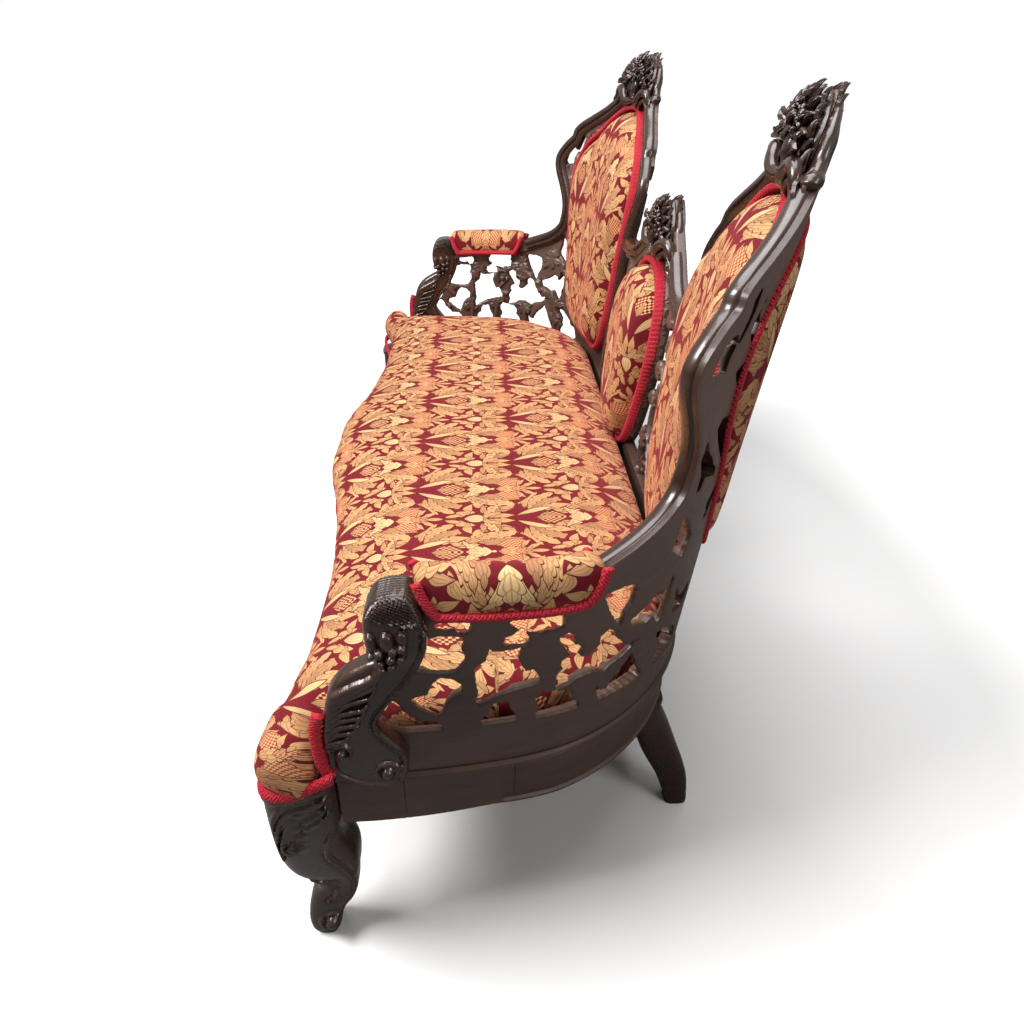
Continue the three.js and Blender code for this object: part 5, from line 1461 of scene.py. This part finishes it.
def buildLeg(name, node, size, levels, sign):
    ups = np.linspace(0, 1, size["rings"])
    dense = smoothLoop(np.array(levels, float), size["rings"] * 4, closed=False)
    rows = np.stack([np.interp(ups, dense[:, 0], dense[:, i]) for i in range(1, 5)], axis=1)
    turn = np.linspace(0, math.tau, size["around"], endpoint=False)
    dx, dy = (np.sign(c) * np.abs(c) ** 0.55 for c in (np.cos(turn), np.sin(turn)))
    verts = []
    for up, (aside, back, wide, deep) in zip(ups, rows):
        x = size["x"] + (aside + wide * dx) * size["halfWidth"]
        y = size["y"] + (back + deep * dy) * size["halfDepth"]
        z = np.full(len(turn), up * size["height"])
        if size["carved"]:
            toRear = smooth((y - legTop["startY"]) / (legTop["endY"] - legTop["startY"]))
            lift = legTop["front"] + (legTop["rear"] - legTop["front"]) * toRear
            z = z + lift * smooth((z - 0.20) / (size["height"] - 0.20))
            # the front face repeats the outer one
            front = 2 * size["y"] - size["x"] + x - 0.036
            outerRise = legRelief(y, z, lift, size["height"]) * smooth((dx - 0.72) / 0.22)
            frontRise = legRelief(front, z, lift, size["height"]) * smooth((-dy - 0.72) / 0.22)
            x, y = x + outerRise, y - frontRise
        verts.append(np.stack([sign * x, y, z], axis=1))
    flat = np.vstack(verts)
    low, high = (np.array(c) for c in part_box(node))
    flat[:, :2] = np.clip(flat[:, :2], low[:2] - 0.003, high[:2] + 0.003)
    mesh = faceOutward(newMesh(name, flat, ringFaces(size["rings"], size["around"])))
    finishPiece(name, mesh, node, carvedWood, 55)


for side, sign in sides:
    buildLeg(side + "FrontLeg", side + "_front_leg", frontLeg, frontLegLevels, sign)
    buildLeg(side + "RearLeg", side + "_rear_leg", rearLeg, rearLegLevels, sign)
print("legs ready")

# Rails under the seat. The side rails carry the lip that the wall stands on.
rail = {
    "topZ": 0.3645, "lowZ": 0.258, "frontLowZ": 0.269, "riseStart": 0.9, "riseEnd": 1.0,
    "startS": 0.3223, "endS": 1.205, "seams": (0.965, 1.117), "seamHalf": 0.0009,
}


def railMesh(name, sLines):
    marks = [s + d for s in rail["seams"] for d in (-rail["seamHalf"], 0, rail["seamHalf"])]
    runs = sorted(list(sLines) + [s for s in marks if sLines[0] < s < sLines[-1]])
    verts = []
    for s in runs:
        low = np.interp(s, (rail["riseStart"], rail["riseEnd"]), (rail["lowZ"], rail["frontLowZ"]))
        bead = np.interp(s, (0.975, 1.0), (1, 0))
        cut = -0.0012 if any(abs(s - seam) < 1e-6 for seam in rail["seams"]) else 0.0
        profile = (
            (low + 0.002, cut), (low + 0.0045, 0.0026 * bead), (low + 0.0085, 0.0030 * bead),
            (low + 0.0115, -0.0012 * bead), (low + 0.0135, cut), (0.340, cut), (0.3490, cut),
            (0.3505, -0.0014), (0.3520, 0.0006), (0.3545, 0.0034), (0.3575, 0.0046),
            (0.3605, 0.0034), (0.3625, 0.0008), (rail["topZ"], 0.0), (rail["topZ"], -0.024),
            (low, -0.024), (low, -0.002),
        )
        verts += [(s, z, n) for z, n in profile]
    return newMesh(name, verts, ringFaces(len(runs), len(profile)))


for side, sign in sides:
    mesh = railMesh(side + "SideRail", np.linspace(rail["startS"], rail["endS"], 90))
    bentPiece(side + "SideRail", mesh, sign, side + "_side_rail", railWood)
mesh = railMesh("backRail", np.linspace(-centreBack["half"], centreBack["half"], 9))
bentPiece("backRail", mesh, 1, "back_rail", railWood)

# the seat's front edge, as shares of its half width and of its depth
seatFront = (
    (0, 0.98), (0.078, 1.0), (0.151, 0.933), (0.286, 0.657), (0.441, 0.495), (0.557, 0.419),
    (0.686, 0.429), (0.774, 0.457), (0.873, 0.552),
)
seatEdge = {"cornerX": 0.912, "backY": -0.272, "frontY": -0.377}
frontRun = [
    (a * seatEdge["cornerX"], seatEdge["backY"] + f * (seatEdge["frontY"] - seatEdge["backY"]))
    for a, f in seatFront
]
frontHalf = smoothLoop(frontRun, 60, closed=False)
frontHalf = frontHalf[frontHalf[:, 0] < 0.7965]
frontPath = np.vstack([frontHalf[1:][::-1] * [-1, 1], frontHalf])
ahead = unit(np.gradient(frontPath, axis=0))
backward = np.stack([-ahead[:, 1], ahead[:, 0], np.zeros(len(ahead))], axis=1)
frontMesh = sweepMesh(
    "frontRail", np.c_[frontPath, np.zeros(len(frontPath))], backward, (0, 0, 1),
    ((0.042, 0.266), (0.016, 0.266), (0.0125, 0.268), (0.0115, 0.272), (0.0125, 0.276),
     (0.0150, 0.278), (0.0125, 0.280), (0.0125, 0.318), (0.0150, 0.320), (0.0122, 0.3225),
     (0.0122, 0.328), (0.0140, 0.3302), (0.042, 0.3302)),
)
finishPiece("frontRail", frontMesh, "front_rail", carvedWood)
print("rails ready")


# Crests: a leafy board carries a vase, looped mouldings, flowers, fruit and leaves.
class Forms:
    def __init__(self):
        self.verts = []
        self.faces = []

    def add(self, verts, faces):
        start = len(self.verts)
        self.verts += [tuple(v) for v in verts]
        self.faces += [tuple(start + i for i in face) for face in faces]

    def tube(self, path, radii, sides=10, flat=1.0):
        path = np.asarray(path, float)
        radii = np.interp(np.linspace(0, 1, len(path)), np.linspace(0, 1, len(radii)), radii)
        ahead = unit(np.gradient(path, axis=0))
        side = np.cross(ahead, np.array([0, 0, 1.0]))
        side /= np.maximum(np.linalg.norm(side, axis=1, keepdims=True), 1e-6)
        lift = np.cross(side, ahead)
        turn = np.linspace(0, math.tau, sides, endpoint=False)
        ring = (
            path[:, None]
            + side[:, None] * (np.cos(turn)[None, :, None] * radii[:, None, None])
            + lift[:, None] * (np.sin(turn)[None, :, None] * radii[:, None, None] * flat)
        )
        self.add(ring.reshape(-1, 3), ringFaces(len(path), sides))

    def ball(self, at, radius, stretch=(1, 1, 1), around=12, up=8):
        verts = [(at[0], at[1], at[2] + radius * stretch[2])]
        for i in range(1, up):
            polar = math.pi * i / up
            for j in range(around):
                turn = math.tau * j / around
                verts.append((
                    at[0] + radius * stretch[0] * math.sin(polar) * math.cos(turn),
                    at[1] + radius * stretch[1] * math.sin(polar) * math.sin(turn),
                    at[2] + radius * stretch[2] * math.cos(polar),
                ))
        verts.append((at[0], at[1], at[2] - radius * stretch[2]))
        last = len(verts) - 1
        faces = [(0, 1 + j, 1 + (j + 1) % around) for j in range(around)]
        for i in range(up - 2):
            for j in range(around):
                a, k = 1 + i * around, (j + 1) % around
                faces.append((a + j, a + around + j, a + around + k, a + k))
        base = 1 + (up - 2) * around
        faces += [(last, base + (j + 1) % around, base + j) for j in range(around)]
        self.add(verts, faces)

    def leaf(self, root, tip, width, arch, thick=0.0022, lobes=3, twist=0.0):
        # a bent leaf with a raised midrib and scalloped edges; arch lifts its middle
        root, tip = np.asarray(root, float), np.asarray(tip, float)
        run = tip - root
        length = np.linalg.norm(run)
        run /= length
        side = np.cross(run, [0, 0, 1.0])
        side /= max(np.linalg.norm(side), 1e-6)
        lift = np.cross(side, run)
        side = side * math.cos(twist) + lift * math.sin(twist)
        lift = np.cross(side, run)
        rows, columns = 13, 9
        top, bottom = [], []
        for i in range(rows):
            t = i / (rows - 1)
            reach = width * (math.sin(math.pi * min(1, t * 0.93 + 0.05)) ** 0.75)
            reach *= 0.84 + 0.16 * abs(math.cos(math.pi * lobes * t))
            for j in range(columns):
                c = 2 * j / (columns - 1) - 1
                curl = arch * (4 * t * (1 - t)) + arch * 0.5 * t * t
                trough = 0.30 * reach * (abs(c) ** 1.5) - 0.0012 * math.exp(-((c / 0.16) ** 2))
                groove = 0.0007 * math.cos(c * 14 + t * 6)
                spot = root + run * (length * t) + side * (c * reach) + lift * (trough + groove)
                spot = spot + np.array([0, 0, curl])
                top.append(spot + lift * -thick)
                bottom.append(spot + lift * thick * (0.4 if i in (0, rows - 1) else 1))
        faces = []
        total = rows * columns
        for i in range(rows - 1):
            for j in range(columns - 1):
                a = i * columns + j
                b = total + a
                faces.append((a, a + 1, a + columns + 1, a + columns))
                faces.append((b, b + columns, b + columns + 1, b + 1))
        for i in range(rows - 1):
            a, b = i * columns, (i + 1) * columns
            faces.append((a, b, total + b, total + a))
            a, b = a + columns - 1, b + columns - 1
            faces.append((b, a, total + a, total + b))
        for j in range(columns - 1):
            faces.append((j + 1, j, total + j, total + j + 1))
            a = (rows - 1) * columns + j
            faces.append((a, a + 1, total + a + 1, total + a))
        self.add(top + bottom, faces)

    def flower(self, at, radius, count=6):
        for ring, (share, lift) in enumerate(((1.0, 0.0), (0.66, 0.0035))):
            for i in range(count):
                turn = math.tau * (i + ring * 0.5) / count
                way = np.array([math.cos(turn), math.sin(turn), 0])
                root = np.array(at) + way * radius * 0.12 + [0, 0, lift]
                tip = np.array(at) + way * radius * share + [0, 0, lift + radius * 0.10]
                self.leaf(root, tip, radius * 0.40 * share, radius * 0.16, 0.0014, 1)
        self.ball((at[0], at[1], at[2] + radius * 0.30), radius * 0.24)

    def lathe(self, at, profile, around=24):
        # profile rows are (radius, height above the base)
        verts = []
        for radius, height in profile:
            for j in range(around):
                turn = math.tau * j / around
                verts.append((
                    at[0] + radius * math.cos(turn), at[1] + height, at[2] + radius * math.sin(turn)
                ))
        self.add(verts, ringFaces(len(profile), around))


# the vase's rows are (radius, height), in millimetres
vaseProfile = (
    (3.0, 0), (8.5, 1.5), (9.5, 4), (6.0, 7), (4.6, 10), (6.6, 12), (6.0, 14), (7.2, 15.5),
    (6.4, 17), (9.4, 20), (11.6, 26), (12.6, 36), (12.4, 43), (11.2, 47), (14.0, 49),
    (14.6, 51), (12.0, 53), (14.2, 55), (14.8, 57.5), (11.5, 60), (4, 61),
)
# middle lines of the looped mouldings, as (aside, height, proud)
loopPath = (
    (0.084, 1.058, 0.006), (0.080, 1.070, 0.011), (0.071, 1.079, 0.016), (0.059, 1.079, 0.020),
    (0.049, 1.072, 0.023), (0.041, 1.063, 0.024), (0.032, 1.057, 0.023), (0.020, 1.0550, 0.021),
    (0.009, 1.057, 0.019), (0, 1.058, 0.018),
)
innerLoop = (
    (0.094, 1.038, 0.004), (0.084, 1.049, 0.007), (0.074, 1.060, 0.011), (0.064, 1.063, 0.014),
    (0.056, 1.057, 0.017), (0.049, 1.049, 0.017), (0.039, 1.0455, 0.015), (0.026, 1.046, 0.013),
)


def crestFaces(aside, z, field):
    ridge = 0.0035 * np.abs(np.sin(np.abs(aside) * 120 + z * 60))
    rise = 0.010 * dome(1 - np.clip(field / 0.020, 0, 1))
    return 0.003 + rise + ridge * np.clip(field / 0.004, 0, 1), 0.0 * field


# the rounded edge that carries the wall's moulding on round the crest
crestRim = (
    (0.0800, 1.0655, -0.0103), (0.0665, 1.0790, -0.0100), (0.0600, 1.0950, -0.0095),
    (0.0530, 1.1090, -0.0090), (0.0420, 1.1210, -0.0088), (0.0290, 1.1310, -0.0086),
    (0.0150, 1.1400, -0.0086), (0, 1.1470, -0.0088),
)
crestCollar = (
    (0.0905, 1.0530, -0.0085), (0.0850, 1.0600, -0.0090), (0.0785, 1.0665, -0.0095),
    (0.0715, 1.0740, -0.0095),
)
# each leaf: root and tip as (aside, height, proud), half width, arch
crestLeaves = (
    # the leaves that wrap the collar and climb the rounded edge
    ((0.102, 1.040, -0.004), (0.079, 1.071, -0.002), 0.0080, 0.006),
    ((0.096, 1.043, -0.013), (0.076, 1.080, -0.012), 0.0080, 0.006),
    ((0.078, 1.060, 0.000), (0.066, 1.096, 0.002), 0.0075, 0.006),
    # the leaves that stand round the top and the side
    ((0.016, 1.128, 0.014), (0.024, 1.155, 0.012), 0.0075, 0.006),
    ((0.026, 1.124, 0.016), (0.044, 1.146, 0.014), 0.0080, 0.007),
    ((0.036, 1.116, 0.016), (0.060, 1.131, 0.014), 0.0080, 0.007),
    ((0.044, 1.106, 0.014), (0.073, 1.112, 0.014), 0.0080, 0.006),
    ((0.048, 1.097, 0.014), (0.078, 1.096, 0.018), 0.0070, 0.007),
    ((0.006, 1.136, 0.016), (0.012, 1.153, 0.024), 0.0060, 0.006),
    ((0.018, 1.116, 0.030), (0.036, 1.128, 0.036), 0.0070, 0.005),
    ((0.012, 1.112, 0.028), (0.022, 1.098, 0.036), 0.0065, 0.005),
    # the leaves that climb the rounded edge, and those behind it up to the tip
    ((0.050, 1.098, -0.012), (0.036, 1.132, -0.015), 0.0090, 0.006),
    ((0.034, 1.116, -0.013), (0.020, 1.147, -0.016), 0.0090, 0.006),
    ((0.018, 1.128, -0.014), (0.006, 1.157, -0.016), 0.0095, 0.006),
    ((0.056, 1.078, 0.004), (0.062, 1.106, 0.006), 0.0080, 0.006),
    ((0.054, 1.096, 0.005), (0.050, 1.124, 0.007), 0.0075, 0.006),
    ((0.044, 1.112, 0.005), (0.034, 1.139, 0.006), 0.0075, 0.006),
    ((0.028, 1.126, 0.004), (0.016, 1.154, 0.003), 0.0075, 0.006),
)
crestBalls = (
    # aside, height, proud, radius in millimetres
    (0.042, 1.106, 0.024, 5.6), (0.050, 1.101, 0.021, 5.0), (0.041, 1.097, 0.026, 5.0),
    (0.019, 1.112, 0.033, 5.6), (0.011, 1.120, 0.033, 5.2), (0.023, 1.127, 0.028, 5.2),
    (0.013, 1.132, 0.028, 4.8), (0.038, 1.127, 0.021, 4.6), (0.053, 1.112, 0.018, 4.4),
    (0.004, 1.112, 0.034, 5.0),
)
crest = {
    "step": 0.0019, "vaseAt": (0, 1.0600, 0.0215), "vaseWide": 0.84, "vaseTall": 0.80,
    "loopGirth": (0.0060, 0.0090, 0.0094, 0.0080, 0.0052),
    "innerGirth": (0.0028, 0.0048, 0.0050, 0.0028),
    "rimGirth": (0.0108, 0.0098, 0.0086, 0.0070, 0.0054, 0.0032),
    "collarGirth": (0.0035, 0.0125, 0.0142, 0.0120, 0.0040),
}


def buildCrest(name, node, sign, axisS, wide, footZ, tall, loopWide=1, loopUp=0):
    board = panelMesh(
        name + "Board", np.arange(-0.0665, 0.067, crest["step"]),
        np.arange(1.0485, 1.1605, crest["step"]),
        lambda aside, z: crestField(aside, z, crestSpan["footZ"]), crestFaces, lambda p: p,
    )
    forms = Forms()
    forms.add(coords(board), [f.vertices for f in board.polygons])
    bpy.data.meshes.remove(board)
    for way in (1, -1):
        flip = np.array([way, 1, 1])
        for path, girths in ((loopPath, crest["loopGirth"]), (innerLoop, crest["innerGirth"])):
            line = smoothLoop(path, 48, closed=False) + [0, loopUp, 0]
            forms.tube(line * flip * [loopWide, 1, 1], girths, 12)
        forms.tube(smoothLoop(crestRim, 60, closed=False) * flip, crest["rimGirth"], 14)
        # a leafy collar where the moulding of the back runs into the crest
        forms.tube(smoothLoop(crestCollar, 24, closed=False) * flip, crest["collarGirth"], 14)
        for root, tip, half, arch in crestLeaves:
            forms.leaf(np.array(root) * flip, np.array(tip) * flip, half, arch)
        forms.flower((way * 0.030, 1.115, 0.026), 0.0135)
        for x, z, proud, radius in crestBalls:
            forms.ball((way * x, z, proud), radius * mm)
    forms.flower((0, 1.130, 0.028), 0.0145)
    forms.leaf((0, 1.134, 0.016), (0, 1.161, 0.010), 0.0085, 0.007)
    vase = [(r * crest["vaseWide"] * mm, h * crest["vaseTall"] * mm) for r, h in vaseProfile]
    forms.lathe(crest["vaseAt"], vase)
    points = np.array(forms.verts)
    up = footZ + (points[:, 1] - crestSpan["footZ"]) * tall
    flat = np.stack([axisS + points[:, 0] * wide, up, frontN - points[:, 2]], axis=1)
    mesh = newMesh(name, bend(flat * [sign, 1, 1]), forms.faces)
    finishPiece(name, faceOutward(mesh, merge=False), node, carvedWood, 50)


for side, sign in sides:
    buildCrest(side + "Crest", side + "_crest", sign, tallAxis, 1.0, crestSpan["footZ"], 1.0)
buildCrest(
    "centreCrest", "centre_crest", 1, 0, crestSpan["wide"], crestSpan["lowZ"], crestSpan["tall"],
    1.25, 0.012,
)
print("crests ready")

# Arm pads: boat-shaped bolsters with gimp braid along the foot and up the raked ends.
armPad = {
    "startS": 0.895, "endS": 1.064, "rake": 0.023, "footZ": 0.6340, "topZ": 0.7000,
    "innerN": -0.035, "outerN": 0.012, "round": 0.015, "voxel": 0.0045, "cap": 0.005,
    "fill": 0.9, "repeatS": 0.98, "repeatUp": 0.046, "girth": 0.178, "braid": (0.012, 0.0062),
}
# how full the pad is at each share of its height: the outline is drawn in by the second number
armPadLevels = (
    (0.0, 0.0), (0.2, -0.001), (0.45, -0.001), (0.65, 0.0005), (0.78, 0.003), (0.88, 0.0075),
    (0.95, 0.0135), (1.0, 0.0215),
)


def roundedRect(x0, x1, y0, y1, radius, count=8):
    points = []
    for cx, cy, start in (
        (x1 - radius, y1 - radius, 0), (x0 + radius, y1 - radius, 90),
        (x0 + radius, y0 + radius, 180), (x1 - radius, y0 + radius, 270),
    ):
        for i in range(count):
            turn = math.radians(start + 90 * i / (count - 1))
            points.append((cx + radius * math.cos(turn), cy + radius * math.sin(turn)))
    return np.array(points)


def joinMeshes(name, meshes):
    bm = bmesh.new()
    for mesh in meshes:
        bm.from_mesh(mesh)
    bmesh.ops.recalc_face_normals(bm, faces=bm.faces)
    joined = bpy.data.meshes.new(name)
    bm.to_mesh(joined)
    bm.free()
    return joined


def buildArmPad(side, sign):
    start, end, footZ = armPad["startS"], armPad["endS"], armPad["footZ"]
    name = side + "ArmPad"
    verts = []
    for up, inset in armPadLevels:
        z = footZ + up * (armPad["topZ"] - footZ)
        rake = armPad["rake"] * min(1, up / 0.8)
        ring = roundedRect(
            start - rake + inset, end + rake - inset, armPad["innerN"] + inset,
            armPad["outerN"] - inset, max(0.003, armPad["round"] - inset * 0.6),
        )
        verts += [(s, z, n) for s, n in ring]
    mesh = faceOutward(newMesh(name, verts, ringFaces(len(armPadLevels), len(ring))))
    done = simulate(name, mesh, armPad["voxel"], armPad["cap"])
    p = coords(done)
    p[:, 1] = np.maximum(p[:, 1], footZ)
    middle = (armPad["innerN"] + armPad["outerN"]) / 2
    turn = np.arctan2(p[:, 1] - footZ + 0.004, p[:, 2] - middle)
    cloth = [p[:, 0] - armPad["repeatS"], turn / math.pi * armPad["girth"] + armPad["repeatUp"]]
    setCloth(done, np.stack(cloth, axis=1))
    setCoords(done, bend(p * [sign, 1, 1]))
    finishPad(name, faceOutward(done), side + "_arm_pad")
    # braid along both faces and up their ends, then across each end at the foot
    runs = []
    top, foot = footZ + 0.052, footZ + 0.0055
    for n, way in ((armPad["outerN"] + 0.0005, 1), (armPad["innerN"] - 0.0005, -1)):
        climb = (
            (-0.017, top, n - way * 0.003), (-0.008, top - 0.026, n), (0.001, foot + 0.004, n),
            (0.012, foot, n),
        )
        path = [(start + s, z, d) for s, z, d in climb]
        path.append(((start + end) / 2, foot, n + way * 0.0005))
        path += [(end - s, z, d) for s, z, d in reversed(climb)]
        line = smoothLoop(path, 120, closed=False)
        ahead = unit(np.gradient(line[:, :2], axis=0))
        across = np.stack([ahead[:, 1], -ahead[:, 0], np.zeros(len(line))], axis=1)
        runs.append((line, across, (0, 0, way)))
    for s, way in ((start - 0.001, -1), (end + 0.001, 1)):
        path = [(s, foot, n) for n in (armPad["innerN"] + 0.004, middle, armPad["outerN"] - 0.004)]
        runs.append((smoothLoop(path, 20, closed=False), (0, 1, 0), (way, 0, 0)))
    profile = halfRound(*armPad["braid"])
    trims = [sweepMesh(side + "ArmTrim", *run, profile, waviness=0.05) for run in runs]
    trim = joinMeshes(side + "ArmBraid", trims)
    setCoords(trim, bend(coords(trim) * [sign, 1, 1]))
    finishPiece(side + "ArmBraid", trim, side + "_arm_braid", braidCloth, None)


for side, sign in sides:
    buildArmPad(side, sign)
print("arm pads ready")

# Gimp braid along the seat's lower edge, round its corners and up the front of each post.
seatTrim = {
    "z": 0.3385, "lip": (0.0185, 0.0070), "inset": 0.011, "postX": 0.8855,
    "post": (0.0155, 0.0085),
}
seatLip = frontHalf[frontHalf[:, 0] < 0.760] + [0, seatTrim["inset"]]
seatLip = np.c_[seatLip, np.full(len(seatLip), seatTrim["z"])]
seatCorner = (
    (0.790, -0.3330, 0.3420), (0.818, -0.3425, 0.3560), (0.845, -0.3485, 0.3670),
    (0.872, -0.3490, 0.3710), (0.891, -0.3430, 0.3715), (0.9000, -0.3270, 0.3720),
    (0.9010, -0.3070, 0.3745), (0.9005, -0.2880, 0.3830), (0.8980, -0.2680, 0.3910),
    (0.8940, -0.2520, 0.3970),
)
halfLine = smoothLoop(np.vstack([seatLip[::4], seatCorner]), 230, closed=False)
line = np.vstack([halfLine[1:][::-1] * [-1, 1, 1], halfLine])
ahead = unit(np.gradient(line, axis=0) * [1, 1, 0])
outward = np.stack([ahead[:, 1], -ahead[:, 0], np.zeros(len(line))], axis=1)
profile = halfRound(*seatTrim["lip"])
trims = [sweepMesh("lipTrim", line, (0, 0, 1), outward, profile, waviness=0.07)]
climb = (
    (-0.2530, 0.392), (-0.2590, 0.398), (-0.2640, 0.412), (-0.2665, 0.440), (-0.2665, 0.465),
    (-0.2640, 0.485), (-0.2590, 0.500),
)
rise = smoothLoop(climb, 60, closed=False)
profile = halfRound(*seatTrim["post"])
for way in (1, -1):
    path = np.c_[np.full(len(rise), way * seatTrim["postX"]), rise]
    ahead = unit(np.gradient(path, axis=0))
    across = np.stack([np.zeros(len(path)), ahead[:, 2], -ahead[:, 1]], axis=1)
    trims.append(sweepMesh("postTrim", path, across, (way, 0, 0), profile, waviness=0.12))
braid = joinMeshes("seatBraid", trims)
finishPiece("seatBraid", braid, "seat_braid", braidCloth, None)
print("braids ready")

# CAD nodes that keep their own shape get a finish of their own.
keptFinish = {"seat_webbing": webMaterial("juteWebbing")}
for side, _ in sides:
    for part in ("_brace", "_rear_block", "_front_block"):
        keptFinish[side + part] = frameWood
for node, finish in keptFinish.items():
    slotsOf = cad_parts[node].data.materials
    slotsOf.clear()
    slotsOf.append(finish)

# The stage: a pale sweep, three soft lights and the photograph's camera.
stage = {
    "floorColour": (0.93, 0.93, 0.935), "floorBounce": (0.17, 0.17, 0.17), "floorReach": 14,
    "fade": (1.14, 2.15), "fadeShape": (0.7, 1.12, 1),
    "glowColour": (1.0, 0.975, 0.94), "glow": 0.09, "glossyGlow": 0.36,
    "eye": (1.612, -0.04795, 1.217), "focal": 811.9 / 1024 * 36, "sensor": 36,
    "yaw": math.radians(2.03), "pitch": math.radians(31.03), "roll": math.radians(-0.30),
}
reach = stage["floorReach"]
floorCorners = [(-reach, -reach, 0), (reach, -reach, 0), (reach, reach, 0), (-reach, reach, 0)]
floorMesh = newMesh("floor", floorCorners, [(0, 1, 2, 3)])
floor = bpy.data.objects.new("floor", floorMesh)
scene.collection.objects.link(floor)
floorFinish, floorTree, floorShader = blankMaterial("paleFloor")
seen = Term(floorTree, addNode(floorTree, "LightPath").outputs["Is Camera Ray"])
place = objectPlace(floorTree, stage["fadeShape"])
away = addNode(floorTree, "VectorMath", {0: place}, operation="LENGTH").outputs["Value"]
setInputs(floorShader, {
    "Base Color": mixColour(floorTree, seen, stage["floorBounce"], stage["floorColour"]),
    "Roughness": 0.9, "Specular IOR Level": 0.0, "Emission Color": (1, 1, 1),
    "Emission Strength": setRange(floorTree, away, *stage["fade"], 0.0, 1.0) * seen,
})
floorMesh.materials.append(floorFinish)

world = bpy.data.worlds.new("softRoom")
world.use_nodes = True
scene.world = world
room = world.node_tree
room.nodes.clear()
rays = addNode(room, "LightPath").outputs
strength = Term(room, rays["Is Glossy Ray"]).mad(stage["glossyGlow"], stage["glow"])
glow = addNode(room, "Background", {0: stage["glowColour"], 1: strength}).outputs[0]
backdrop = addNode(room, "Background", {0: (1, 1, 1), 1: 1.0}).outputs[0]
pick = addNode(room, "MixShader", {0: rays["Is Camera Ray"], 1: glow, 2: backdrop}).outputs[0]
addNode(room, "OutputWorld", {0: pick})


def areaLight(name, place, aim, size, power, colour=(1, 1, 1)):
    data = bpy.data.lights.new(name, "AREA")
    data.shape = "RECTANGLE"
    data.size, data.size_y = size
    data.energy = power
    data.color = colour
    light = bpy.data.objects.new(name, data)
    light.location = place
    light.rotation_euler = (Vector(aim) - Vector(place)).to_track_quat("-Z", "Y").to_euler()
    scene.collection.objects.link(light)


areaLight("keyLight", (0.9, -2.2, 3.0), (0, 0, 0.4), (1.8, 1.2), 148, (1.0, 0.98, 0.95))
areaLight("topLight", (0.0, -0.2, 3.6), (0, 0, 0.4), (3.0, 2.2), 118)
areaLight("endLight", (2.7, 2.3, 2.1), (0.6, 0.1, 0.6), (1.2, 1.2), 32, (1.0, 0.98, 0.95))

cosine, sine = math.cos(stage["pitch"]), math.sin(stage["pitch"])
ahead = Vector((-cosine * math.cos(stage["yaw"]), cosine * math.sin(stage["yaw"]), -sine))
rightward = ahead.cross(Vector((0, 0, 1))).normalized()
upward = rightward.cross(ahead).normalized()
rolledRight = rightward * math.cos(stage["roll"]) + upward * math.sin(stage["roll"])
rolledUp = upward * math.cos(stage["roll"]) - rightward * math.sin(stage["roll"])
cameraData = bpy.data.cameras.new("camera")
cameraData.sensor_width = stage["sensor"]
cameraData.lens = stage["focal"]
camera = bpy.data.objects.new("camera", cameraData)
turn = Matrix((rolledRight, rolledUp, -ahead)).transposed()
camera.matrix_world = Matrix.Translation(stage["eye"]) @ turn.to_4x4()
scene.collection.objects.link(camera)
scene.camera = camera
scene.view_settings.view_transform = "Standard"

bpy.context.view_layer.update()
print("stage ready")
